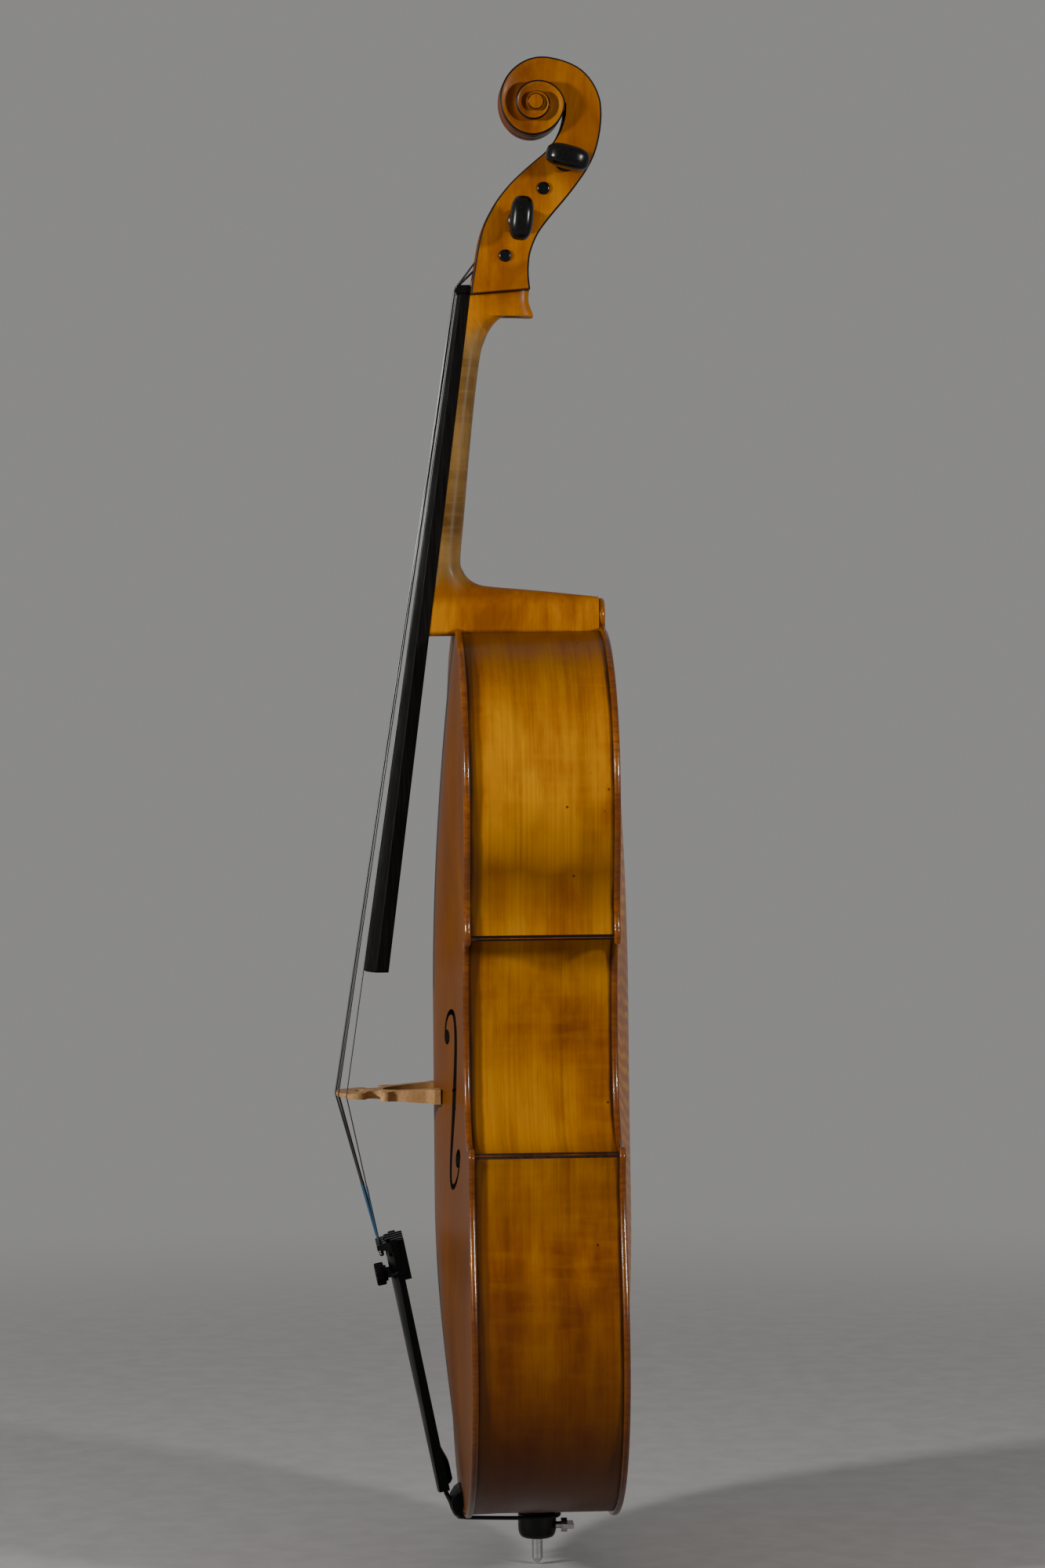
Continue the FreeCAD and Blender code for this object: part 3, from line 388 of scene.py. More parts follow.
def maple_back():
    """Two-piece back: strong curl sloping away from the centre joint."""
    n = Nodes("back_varnish")
    side = n.math("ABSOLUTE", n.x)
    slope = n.math("SUBTRACT", n.z, n.math("MULTIPLY", side, 0.32))
    wander = n.math("MULTIPLY", n.noise((9, 9, 5), 3), 0.060)
    wave = n.math("SINE", n.math("MULTIPLY", n.math("ADD", slope, wander), 520.0))
    patch = n.noise((16, 8, 12), 3)
    flame = n.math("MULTIPLY", n.band(wave, -0.5, 0.9), n.band(patch, 0.35, 0.65, 0.25, 1.0))
    cloud = n.noise((7, 7, 5), 5, 0.6, 0.4)
    colour = n.ramp(cloud, [(0.30, (0.11, 0.028, 0.001)), (0.52, (0.22, 0.066, 0.0015)),
                            (0.72, (0.33, 0.120, 0.002))])
    colour = n.mix(n.math("MULTIPLY", flame, 0.55), colour, (0.46, 0.19, 0.006))
    grain = n.noise((600, 300, 9), 4, 0.6)
    colour = n.tint(colour, (0.09, 0.022, 0.001), grain, 0.45, 0.7, 0.35)
    colour = n.tint(colour, (0.06, 0.02, 0.005), side, 0.0007, 0.0002, 0.8)
    return n.finish(colour, (cloud, 0.28, 0.42), (grain, 0.15, 0.0002),
                    Specular_IOR_Level=0.16, Coat_Weight=0.08, Coat_Roughness=0.10)


def neck_wood():
    """Head and heel carry amber varnish; the handle between them is bare, oiled maple."""
    n = Nodes("neck_maple")
    cloud = n.noise((22, 22, 12), 5, 0.62, 0.5)
    grain = n.noise((380, 260, 8), 4, 0.65)
    flame = n.noise((10, 10, 150), 2, 0.5, 0.8)
    varnish = n.ramp(cloud, [(0.34, (0.20, 0.056, 0.0008)), (0.50, (0.30, 0.096, 0.0008)),
                             (0.64, (0.40, 0.148, 0.001))])
    varnish = n.tint(varnish, AMBER_DEEP, grain, 0.45, 0.7, 0.35)
    varnish = n.tint(varnish, (0.10, 0.022, 0.0008), n.z, 1.13, 1.21, 0.40)
    # painted shade along the top of the heel, where its rounding turns away from the light
    heel_top_shade = n.band(n.math("ADD", n.z, n.math("MULTIPLY", cloud, 0.008)), 0.822, 0.834, 0.0, 0.55)
    heel_top_shade = n.math("MULTIPLY", heel_top_shade, n.band(n.z, 0.90, 0.86))
    varnish = n.mix(heel_top_shade, varnish, (0.10, 0.024, 0.0008))
    foot = n.math("ADD", n.z, n.math("MULTIPLY", cloud, 0.005))
    varnish = n.tint(varnish, BROWN_SEAM, foot, 0.8020, 0.7970, 0.85)
    step = n.math("SUBTRACT", n.math("SUBTRACT", n.z, n.math("MULTIPLY", n.y, 0.0795)), 1.0858)
    step = n.math("ABSOLUTE", step)
    varnish = n.tint(varnish, BROWN_SEAM, step, 0.0013, 0.0007, 0.9)
    bare = n.ramp(cloud, [(0.36, (0.085, 0.038, 0.008)), (0.5, TAN), (0.64, (0.205, 0.112, 0.030))])
    bare = n.tint(bare, (0.09, 0.045, 0.014), grain, 0.45, 0.72, 0.35)
    bare = n.tint(bare, (0.21, 0.118, 0.032), flame, 0.45, 0.65, 0.3)
    shift = n.math("ADD", n.z, n.math("MULTIPLY", n.math("SUBTRACT", cloud, 0.5), 0.05))
    handle = n.math("MULTIPLY", n.band(shift, 0.832, 0.856), n.band(shift, 1.068, 1.046))
    colour = n.mix(handle, varnish, bare)
    return n.finish(colour, (cloud, 0.32, 0.48), (n.math("ADD", grain, flame), 0.2, 0.0003),
                    Specular_IOR_Level=0.11, Coat_Weight=0.02, Coat_Roughness=0.14)


def varnish_red():
    """Darker red-brown varnish on the back of the head and the rims."""
    n = Nodes("rim_varnish")
    cloud = n.noise((28, 28, 20), 5, 0.62, 0.5)
    grain = n.noise((300, 300, 30), 3, 0.6)
    colour = n.ramp(cloud, [(0.32, (0.05, 0.009, 0.001)), (0.52, (0.12, 0.026, 0.001)),
                            (0.70, (0.22, 0.062, 0.001))])
    colour = n.tint(colour, (0.04, 0.008, 0.001), grain, 0.45, 0.7, 0.4)
    return n.finish(colour, 0.36, (grain, 0.15, 0.0002), Specular_IOR_Level=0.2,
                    Coat_Weight=0.15, Coat_Roughness=0.12)


def plain_black(name, base, roughness, coat=0.0, bump=0.12, grain=(240, 240, 18), gloss=0.22):
    """Near-black finish with a faint grain, uneven gloss and a soft bump."""
    n = Nodes(name)
    fibre = n.noise(grain, 4, 0.6)
    cloud = n.noise((40, 40, 30), 3)
    colour = n.tint(base, tuple(2.4 * c + 0.003 for c in base), fibre, 0.4, 0.75, 0.7)
    return n.finish(colour, (cloud, roughness * 0.8, roughness * 1.25), (fibre, bump, 0.0003),
                    Coat_Weight=coat, Coat_Roughness=0.08, Specular_IOR_Level=gloss)


def edge_line():
    """Blackened edge of the head, worn through to the wood in places."""
    n = Nodes("black_edge_line")
    wear = n.noise((60, 60, 60), 5, 0.7)
    colour = n.mix(n.band(wear, 0.62, 0.74), (0.004, 0.0025, 0.002), (0.26, 0.12, 0.03))
    return n.finish(colour, 0.35, (wear, 0.2, 0.0002), Specular_IOR_Level=0.25)


def bridge_wood():
    """Bare maple with short flecks."""
    n = Nodes("bridge_maple_bare")
    fleck = n.noise((60, 420, 420), 4, 0.6)
    cloud = n.noise((25, 25, 25), 4)
    colour = n.ramp(cloud, [(0.3, (0.25, 0.125, 0.042)), (0.5, (0.34, 0.185, 0.070)),
                            (0.7, (0.43, 0.250, 0.105))])
    colour = n.tint(colour, (0.21, 0.095, 0.032), fleck, 0.50, 0.66, 0.55)
    return n.finish(colour, (cloud, 0.45, 0.6), (fleck, 0.2, 0.0002), Specular_IOR_Level=0.25)


def inside_wood():
    """Bare spruce with faint year lines."""
    n = Nodes("bare_spruce")
    year = n.noise((500, 60, 6), 3)
    cloud = n.noise((14, 14, 8), 4)
    colour = n.ramp(cloud, [(0.3, (0.28, 0.16, 0.07)), (0.7, (0.45, 0.30, 0.15))])
    colour = n.tint(colour, (0.22, 0.11, 0.045), year, 0.45, 0.65, 0.5)
    return n.finish(colour, (cloud, 0.6, 0.75), (year, 0.2, 0.0003))


def metal(name, colour, roughness):
    """Metal with fine lines along Z that vary its tone and gloss."""
    n = Nodes(name)
    lines = n.noise((60, 60, 900), 3, 0.6)
    tone = n.mix(n.band(lines, 0.35, 0.7), colour, tuple(c * 0.72 for c in colour))
    return n.finish(tone, (lines, roughness * 0.8, roughness * 1.3), (lines, 0.15, 0.0001),
                    Metallic=1.0)


def wound(name, colour, roughness, metallic):
    """Ribbon or thread wound round a string: streaks along it and a worn, uneven sheen."""
    n = Nodes(name)
    wear = n.noise((24, 24, 12), 3)
    tone = n.mix(n.band(wear, 0.40, 0.66), colour, tuple(c * 0.72 for c in colour))
    return n.finish(tone, (wear, roughness * 0.8, roughness * 1.2), (wear, 0.02, 0.00002),
                    Metallic=metallic, Specular_IOR_Level=0.3)


def purfling_light():
    """Pale middle strand of the inlay."""
    n = Nodes("purfling_light")
    grain = n.noise((300, 300, 300), 3)
    colour = n.mix(n.band(grain, 0.35, 0.7), (0.24, 0.11, 0.02), (0.15, 0.06, 0.01))
    return n.finish(colour, 0.4, (grain, 0.1, 0.0001), Specular_IOR_Level=0.25)


MAT = {
    "rib": maple_rib(), "belly": spruce_belly(), "edge": plate_edge(), "back": maple_back(),
    "neck": neck_wood(), "rim": varnish_red(), "line": edge_line(), "bridge": bridge_wood(),
    "inside": inside_wood(), "purf_light": purfling_light(),
    "seam": plain_black("rib_seam_brown", (0.012, 0.0045, 0.002), 0.4),
    "ebony": plain_black("ebony_satin", (0.0025, 0.0022, 0.002), 0.46, 0.0, 0.03,
                         (500, 500, 14), 0.07),
    "peg": plain_black("ebony_polished", (0.0015, 0.0013, 0.0012), 0.24, 0.0, 0.03,
                       (300, 500, 500), 0.28),
    "black": plain_black("black_composite_satin", (0.0012, 0.0012, 0.0013), 0.30, 0.0, 0.05,
                         (900, 900, 900), 0.09),
    "cord": plain_black("tail_cord_black", (0.008, 0.008, 0.008), 0.5, 0.0, 0.5, (900, 900, 900)),
    "lacquer": plain_black("black_lacquered_steel", (0.002, 0.002, 0.0022), 0.22, 0.1, 0.04,
                           (60, 60, 900)),
    "purf_dark": plain_black("purfling_dark", (0.006, 0.004, 0.003), 0.35, 0.1),
    "hole": plain_black("f_hole_edge", (0.004, 0.0025, 0.002), 0.5),
    "steel": metal("steel_bright", (0.62, 0.62, 0.63), 0.24),
    "nickel": metal("nickel_worn", (0.50, 0.49, 0.47), 0.32),
    "string": wound("string_winding", (0.105, 0.105, 0.11), 0.36, 1.0),
    "silk": wound("blue_silk_wrap", (0.016, 0.062, 0.125), 0.6, 0.0),
}


# ------------------------------------------------------------------ body outline
LOWER = [[(0, 0), (128, 0), (220, 64), (220, 155)],
         [(220, 155), (220, 225), (173.6, 280.7), (192.5, 321.5)]]
WAIST = [[(188.5, 330), (135.2, 317.9), (115.5, 363), (115.5, 425)],
         [(115.5, 425), (115.5, 465), (121, 501.2), (154, 493)]]
UPPER = [[(158, 501.5), (145.4, 528.7), (170.5, 567), (170.5, 617)],
         [(170.5, 617), (170.5, 697), (92, 755), (0, 755)]]
# both ends of the short flat across each corner's tip
CORNERS = [((192.5, 321.5), (188.5, 330)), ((154, 493), (158, 501.5))]
CHAIN_STEPS = [84, 46, 68]
TIP_STEPS = 3
TIP_STRETCH = 25.0
BUTTON_STEPS = 14
BUTTON_EDGE = 3.3  # rings further in than this pass straight below the button
BUTTON_MARGIN = 3.0


def bezier(curve, t):
    w = [(1 - t) ** 3, 3 * t * (1 - t) ** 2, 3 * t * t * (1 - t), t ** 3]
    return tuple(sum(k * p[i] for k, p in zip(w, curve)) for i in (0, 1))


def chain(curves, steps=40):
    points = [bezier(curves[0], 0)]
    for curve in curves:
        points += [bezier(curve, (i + 1) / steps) for i in range(steps)]
    return points


def moved_left(points, distance, closed=False):
    """Every point moved sideways, to the left of the direction of travel."""
    moved = []
    last = len(points) - 1
    for i, p in enumerate(points):
        if closed:
            a, b = points[i - 1], points[(i + 1) % len(points)]
        else:
            a, b = points[max(i - 1, 0)], points[min(i + 1, last)]
        dx, dz = b[0] - a[0], b[1] - a[1]
        size = math.hypot(dx, dz) or 1.0
        moved.append((p[0] - dz / size * distance, p[1] + dx / size * distance))
    return moved


def lengthened(points, at_start):
    """Run the chain on in a straight line past one end."""
    a, b = (points[1], points[0]) if at_start else (points[-2], points[-1])
    size = math.hypot(b[0] - a[0], b[1] - a[1])
    tip = tuple(v + (v - u) / size * TIP_STRETCH for u, v in zip(a, b))
    return [tip] + points if at_start else points + [tip]


def crossing(p, q, r, s):
    """Point where the stretches p-q and r-s meet, or None."""
    d = (q[0] - p[0]) * (s[1] - r[1]) - (q[1] - p[1]) * (s[0] - r[0])
    if abs(d) < 1e-9:
        return None
    t = ((r[0] - p[0]) * (s[1] - r[1]) - (r[1] - p[1]) * (s[0] - r[0])) / d
    u = ((r[0] - p[0]) * (q[1] - p[1]) - (r[1] - p[1]) * (q[0] - p[0])) / d
    if 0 <= t <= 1 and 0 <= u <= 1:
        return (lerp(p[0], q[0], t), lerp(p[1], q[1], t))
    return None


def first_crossing(a, b):
    for i in range(len(a) - 2, -1, -1):
        for j in range(len(b) - 1):
            point = crossing(a[i], a[i + 1], b[j], b[j + 1])
            if point:
                return point
    return None


def beyond_tip(corner, p):
    """How far p lies outside the line across the corner's tip."""
    (ax, az), (bx, bz) = corner
    size = math.hypot(bx - ax, bz - az)
    ox, oz = (bz - az) / size, -(bx - ax) / size
    return (p[0] - (ax + bx) / 2) * ox + (p[1] - (az + bz) / 2) * oz


def cut_at_tip(points, corner, depth, at_start):
    """Trim a chain where it comes within depth of the corner's tip line."""
    run = list(reversed(points)) if at_start else list(points)
    while len(run) > 2 and beyond_tip(corner, run[-2]) + depth > 0:
        run.pop()
    s, t = (beyond_tip(corner, p) + depth for p in run[-2:])
    if t > 0:
        run[-1] = tuple(lerp(u, v, s / (s - t)) for u, v in zip(run[-2], run[-1]))
    return list(reversed(run)) if at_start else run


def resampled(points, count):
    """Chain of count equal steps along the points."""
    lengths = [0.0]
    for a, b in zip(points, points[1:]):
        lengths.append(lengths[-1] + math.hypot(b[0] - a[0], b[1] - a[1]))
    result, k = [], 0
    for i in range(count + 1):
        goal = lengths[-1] * i / count
        while k < len(lengths) - 2 and lengths[k + 1] < goal:
            k += 1
        span = lengths[k + 1] - lengths[k] or 1
        t = clamp01((goal - lengths[k]) / span)
        result.append(tuple(lerp(u, v, t) for u, v in zip(points[k], points[k + 1])))
    return result


def button_arc(top, distance):
    """End the upper bout at the button and go round it, or go straight to the middle."""
    if distance >= BUTTON_EDGE:
        top = [p for p in top if p[0] > BUTTON_MARGIN]
        return top, straight([top[-1], (0.0, BODY_LENGTH - distance)], BUTTON_STEPS)[1:]
    radius = BUTTON_R - distance
    top = [p for p in top if math.hypot(p[0], p[1] - BUTTON_Z) > radius]
    start = math.atan2(top[-1][1] - BUTTON_Z, top[-1][0])
    turns = [lerp(start, math.pi / 2, k / BUTTON_STEPS) for k in range(1, BUTTON_STEPS + 1)]
    return top, [(radius * math.cos(a), BUTTON_Z + radius * math.sin(a)) for a in turns]


def half_ring(distance, with_button=False):
    """Treble half of the outline, moved inward, always with the same number of points."""
    chains = [moved_left(chain(c), distance) for c in (LOWER, WAIST, UPPER)]
    if distance > 0:
        for i, corner in enumerate(CORNERS):
            a, b = lengthened(chains[i], False), lengthened(chains[i + 1], True)
            meet = first_crossing(a, b)
            depth = max(distance, 0.5 - beyond_tip(corner, meet)) if meet else distance
            chains[i] = cut_at_tip(a, corner, depth, False)
            chains[i + 1] = cut_at_tip(b, corner, depth, True)
    arc = []
    if with_button:
        chains[2], arc = button_arc(chains[2], distance)
    parts = [resampled(c, k) for c, k in zip(chains, CHAIN_STEPS)]
    ring = list(parts[0])
    for part in parts[1:]:
        ring += straight([ring[-1], part[0]], TIP_STEPS)[1:-1] + part
    ring += arc
    ring[0] = (0.0, ring[0][1])
    ring[-1] = (0.0, ring[-1][1])
    return ring


def full_ring(distance, with_button):
    half = half_ring(distance, with_button)
    return half + [(-x, z) for x, z in reversed(half[1:-1])]


# ------------------------------------------------------------------ arching
# heights at which the arching begins, is widest, narrowest and widest again, and ends
ARCH_START, LOW_Z, WAIST_Z, HIGH_Z, ARCH_END = 13.0, 155.0, 425.0, 617.0, 743.0
LOW_HALF, WAIST_HALF, HIGH_HALF = 206.0, 102.0, 157.0
# heights between which the ridge rises, stays level and falls
RIDGE_START, RIDGE_LOW, RIDGE_HIGH, RIDGE_END = 18.0, 270.0, 430.0, 742.0
# steps in millimetres, straight and diagonal, over which the arching is evened
EVEN, EVEN_DIAGONAL = 8.0, 5.6
ARCH_MARGIN = 5.0


def arch_half_width(z):
    """Half width of the arching: elliptical ends and a waved waist between them."""
    if z < LOW_Z:
        return LOW_HALF * math.sqrt(max(0.0, 1 - ((LOW_Z - z) / (LOW_Z - ARCH_START)) ** 2))
    if z < WAIST_Z:
        wave = 0.5 + 0.5 * math.cos(math.pi * (z - LOW_Z) / (WAIST_Z - LOW_Z))
        return WAIST_HALF + (LOW_HALF - WAIST_HALF) * wave
    if z < HIGH_Z:
        wave = 0.5 - 0.5 * math.cos(math.pi * (z - WAIST_Z) / (HIGH_Z - WAIST_Z))
        return WAIST_HALF + (HIGH_HALF - WAIST_HALF) * wave
    return HIGH_HALF * math.sqrt(max(0.0, 1 - ((z - HIGH_Z) / (ARCH_END - HIGH_Z)) ** 2))


def long_arch(z):
    """Height of the ridge as a share of the full rise."""
    if z <= RIDGE_START or z >= RIDGE_END:
        return 0.0
    if z < RIDGE_LOW:
        return math.sin(math.pi / 2 * (z - RIDGE_START) / (RIDGE_LOW - RIDGE_START)) ** 1.15
    if z > RIDGE_HIGH:
        return math.cos(math.pi / 2 * (z - RIDGE_HIGH) / (RIDGE_END - RIDGE_HIGH)) ** 0.9
    return 1.0


def raw_arch(x, z):
    width = arch_half_width(z)
    if width <= 0 or abs(x) >= width:
        return 0.0
    return long_arch(z) * (0.5 + 0.5 * math.cos(math.pi * x / width)) ** 0.85


def arch(x, z):
    """Arching, evened over a few millimetres so that its start has no crease."""
    total = 4 * raw_arch(x, z)
    for dx, dz in ((1, 0), (-1, 0), (0, 1), (0, -1)):
        total += raw_arch(x + EVEN * dx, z + EVEN * dz)
    for dx, dz in ((1, 1), (-1, 1), (1, -1), (-1, -1)):
        total += raw_arch(x + EVEN_DIAGONAL * dx, z + EVEN_DIAGONAL * dz)
    return total / 12


# (distance from the edge, height above the ribs' edge) of a plate's outer and inner face
EDGE_OUTER = [(0.0, 3.0), (0.3, 4.0), (0.9, 4.85), (1.8, 5.35), (2.8, 5.45), (4.0, 5.2),
              (5.8, 4.85), (8.0, 4.55), (11.0, 4.6), (15.0, 4.85), (20.0, 5.1), (26.0, 5.2)]
EDGE_INNER = [(0.0, 1.9), (0.3, 1.0), (0.9, 0.3), (1.8, 0.0), (26.0, 0.0)]
RING_STEPS = [0.0, 0.12, 0.35, 0.75, 1.3, 2.0, 2.8, 3.6, 4.4, 5.1, 5.8, 7.0, 8.5, 10.5, 13.0,
              16.0, 20.0, 25.0]


def inside_polygon(point, ring):
    x, z = point
    hit = False
    for (ax, az), (bx, bz) in zip(ring, ring[1:] + ring[:1]):
        if (az > z) != (bz > z) and x < ax + (z - az) / (bz - az) * (bx - ax):
            hit = not hit
    return hit


def in_any(point, loops):
    return any(inside_polygon(point, loop) for loop in loops)


def too_near(point, ring, distance):
    return any((point[0] - p[0]) ** 2 + (point[1] - p[1]) ** 2 < distance ** 2 for p in ring)


def filled(outline, holes, columns, rows, pitch, base, gap):
    """Points and triangles over an outline with holes, on a grid that keeps off the borders."""
    points, edges = [], []
    for loop in [outline] + holes:
        first = len(points)
        points += loop
        edges += [(first + k, first + (k + 1) % len(loop)) for k in range(len(loop))]
    grid = []
    for i in columns:
        for j in rows:
            p = (i * pitch[0], base + j * pitch[1])
            if inside_polygon(p, outline) and not too_near(p, points, gap) and not in_any(p, holes):
                grid.append(p)
    out = delaunay_2d_cdt([Vector(p) for p in points + grid], edges, [], 1, 1e-6)
    tris = []
    for tri in out[2]:
        middle = tuple(sum(out[0][i][k] for i in tri) / 3 for k in (0, 1))
        if not in_any(middle, holes):
            tris.append(tuple(tri))
    return [tuple(v) for v in out[0]], tris


# ------------------------------------------------------------------ f-holes
F_X, F_Z = 77.0, 360.2
F_OPENING = 0.9
F_NOTCHES = ((5.9, -7.0), (-6.3, 7.0))
EYE_STEPS = 16
# outlines of one f-hole about its middle, as curves from eye to eye
F_UPPER_OUT = [[(-29.5, 50.5), (-29.5, 64), (-21.5, 74.0), (-11.5, 74.0)],
               [(-11.5, 74.0), (0.5, 74.0), (0.8, 52), (1.6, 34)],
               [(1.6, 34), (2.4, 16), (4.0, 4), (4.3, -5.8)]]
F_LOWER_IN = [[(4.3, -8.2), (4.5, -18), (4.3, -26), (4.4, -36)],
              [(4.4, -36), (4.6, -52), (5, -70.3), (13.5, -70.3)],
              [(13.5, -70.3), (21, -70.3), (27.4, -62), (28.7, -52.6)]]
F_LOWER_OUT = [[(31.5, -47), (31.5, -62), (23, -73.5), (12.5, -73.5)],
               [(12.5, -73.5), (-0.5, -73.5), (-0.8, -52), (-1.6, -34)],
               [(-1.6, -34), (-2.4, -16), (-4.0, -4), (-4.3, 5.8)]]
F_UPPER_IN = [[(-4.3, 8.2), (-4.5, 18), (-4.3, 26), (-4.4, 36)],
              [(-4.4, 36), (-4.6, 52), (-5, 71.0), (-12.5, 71.0)],
              [(-12.5, 71.0), (-20, 71.0), (-26.3, 65), (-27.3, 54.9)]]


def eye_arc(centre, start, end):
    """Clockwise points round an eye of the f-hole, between start and end."""
    (cx, cz), (sx, sz), (ex, ez) = centre, start, end
    a0, a1 = math.atan2(sz - cz, sx - cx), math.atan2(ez - cz, ex - cx)
    while a1 >= a0:
        a1 -= 2 * math.pi
    r = math.hypot(sx - cx, sz - cz)
    turns = [lerp(a0, a1, k / EYE_STEPS) for k in range(1, EYE_STEPS)]
    return [(cx + r * math.cos(a), cz + r * math.sin(a)) for a in turns]


def f_loop():
    """Outline of the treble f-hole: two stems, two notches and two eyes."""
    loop = chain(F_UPPER_OUT, 10) + [F_NOTCHES[0]] + chain(F_LOWER_IN, 10)
    loop += eye_arc((24.5, -47.0), (28.7, -52.6), (31.5, -47.0))
    loop += chain(F_LOWER_OUT, 10) + [F_NOTCHES[1]] + chain(F_UPPER_IN, 10)
    loop += eye_arc((-24.0, 50.5), (-27.3, 54.9), (-29.5, 50.5))
    return [(F_X + x, F_Z + z) for x, z in moved_left(loop, F_OPENING, True)]


# ------------------------------------------------------------------ plates
PLATE_PITCH = (6.5, 6.5)
PLATE_COLUMNS, PLATE_ROWS = range(-34, 35), range(3, 116)
PLATE_GAP = 3.6
EDGE_WORK = 4.4  # width of the edge that has its own varnish


def plate_face(flat, steps, sign, rise, profile):
    """Points of a plate's outer or inner face over its flat points."""
    face = []
    for (x, z), d in zip(flat, steps):
        lift = rise * arch(x, z) if d > ARCH_MARGIN else 0.0
        face.append((x, sign * (RIB_FACE + from_table(profile, d) + lift), z))
    return face


def plate_piece(name, sign, rise, mats, holes, with_button, replaced):
    """Arched plate with rounded edge, channel and any f-holes, as one closed mesh."""
    rings = [full_ring(d, with_button) for d in RING_STEPS]
    n = len(rings[0])
    flat = [p for ring in rings for p in ring]
    steps = [d for d, ring in zip(RING_STEPS, rings) for _ in ring]
    faces, zones = [], []
    for i in range(len(rings) - 1):
        for j in range(n):
            k = (j + 1) % n
            faces.append((i * n + j, i * n + k, (i + 1) * n + k, (i + 1) * n + j))
            zones.append(0 if RING_STEPS[i] < EDGE_WORK else 1)
    middle, tris = filled(rings[-1], holes, PLATE_COLUMNS, PLATE_ROWS, PLATE_PITCH, 0.0, PLATE_GAP)
    base = len(flat)
    flat += middle
    steps += [RING_STEPS[-1]] * len(middle)
    faces += [tuple(base + i for i in tri) for tri in tris]
    zones += [1] * len(tris)
    outer, under = (plate_face(flat, steps, sign, rise, p) for p in (EDGE_OUTER, EDGE_INNER))
    mesh = plate_solid(name, outer, under, faces, zones)
    add_piece(name, mesh, mats, replaced, BODY, 50)


def plate_solid(name, outer, under, faces, zones):
    """Weld the outer face, then add the inner face and the walls between them."""
    bm = bmesh.new()
    depth = bm.verts.layers.float_vector.new("low")
    top = [bm.verts.new(row_point(v)) for v in outer]
    for t, v in zip(top, under):
        t[depth] = row_point(v)
    for face, zone in zip(faces, zones):
        item = bm.faces.new([top[i] for i in face])
        item.material_index = zone
    bmesh.ops.remove_doubles(bm, verts=bm.verts, dist=1e-6)
    rim = [(e, e.link_faces[0].material_index) for e in bm.edges if len(e.link_faces) == 1]
    partner = {v: bm.verts.new(v[depth]) for v in list(bm.verts)}
    for f in list(bm.faces):
        item = bm.faces.new([partner[v] for v in reversed(f.verts)])
        item.material_index = 3 if f.material_index == 1 else f.material_index
    for e, zone in rim:
        a, b = e.verts
        item = bm.faces.new([a, b, partner[b], partner[a]])
        item.material_index = 2 if zone == 1 else 0
    face_outward(bm)
    return mesh_from(bm, name)


# inner and outer distance from the edge, and material, of the three strands
STRANDS = [(4.4, 4.85, 1), (4.85, 5.4, 0), (5.4, 5.8, 1)]
STRAND_OUT, STRAND_IN = 0.06, -0.8


def purfling_piece(name, sign, replaced, with_button):
    """Three-strand inlay following the edge, flush with the plate."""
    verts, faces, mats = [], [], []
    for inner_d, outer_d, mat in STRANDS:
        base = len(verts)
        for d in (inner_d, outer_d):
            ring = full_ring(d, with_button)
            top = RIB_FACE + from_table(EDGE_OUTER, d)
            for step in (STRAND_OUT, STRAND_IN):
                verts += [(x, sign * (top + step), z) for x, z in ring]
        n = len(ring)
        for j in range(n):
            k = (j + 1) % n
            for p, q in ((0, 2), (2, 3), (3, 1), (1, 0)):
                faces.append((base + p * n + j, base + p * n + k, base + q * n + k, base + q * n + j))
                mats.append(mat)
    make_piece(name, (verts, faces), [MAT["purf_light"], MAT["purf_dark"]], replaced,
               face_mats=mats, weld=False)


def rib_piece(name, start, end, side, tips, replaced):
    """Bent rib between two places on the outline."""
    outer, inner = half_ring(OVERHANG)[start:end], half_ring(OVERHANG + RIB_T)[start:end]
    sections = []
    for (ox, oz), (ix, iz) in zip(outer, inner):
        sections.append([(side * ox, -RIB_FACE, oz), (side * ox, RIB_FACE, oz),
                         (side * ix, RIB_FACE, iz), (side * ix, -RIB_FACE, iz)])
    dark = [1 if i in tips else 0 for i in range(end - start - 1) for _ in range(4)]
    tip = MAT["line"] if tips and tips[0] == 0 else MAT["seam"]
    make_piece(name, loft(sections), [MAT["rib"], tip], replaced, angle=30,
               face_mats=dark + [1, 1])


def build_body():
    hole = f_loop()
    mirror = [(-x, z) for x, z in reversed(hole)]
    plate_piece("Belly", -1, BELLY_RISE, [MAT["edge"], MAT["belly"], MAT["hole"], MAT["inside"]],
                [hole, mirror], False, ["top_plate"])
    plate_piece("Back", 1, BACK_RISE, [MAT["edge"], MAT["back"], MAT["hole"], MAT["inside"]],
                [], True, ["back_plate"])
    purfling_piece("Purfling_belly", -1, ["purfling_top"], False)
    purfling_piece("Purfling_back", 1, ["purfling_back"], True)
    waist = CHAIN_STEPS[0] + TIP_STEPS
    upper = waist + CHAIN_STEPS[1]
    end = upper + TIP_STEPS + CHAIN_STEPS[2] + 1
    spans = [("lower", 0, waist + 1, range(CHAIN_STEPS[0], waist)), ("center", waist, upper + 1, ()),
             ("upper", upper, end, range(TIP_STEPS))]
    for place, start, stop, tips in spans:
        for word, side in (("treble", 1), ("bass", -1)):
            rib_piece("Rib_%s_%s" % (place, word), start, stop, side, tips,
                      ["rib_%s_%s" % (place, word)])


# ------------------------------------------------------------------ neck
# values at the nut and at the fingerboard's lower end
BOARD_UNDER, BOARD_TOP, BOARD_HALF = (-47.4, -123.0), (-58.1, -143.3), (16.0, 31.5)


def board_line(z, ends):
    return lerp(*ends, (NUT_Z - z) / (NUT_Z - BOARD_END_Z))


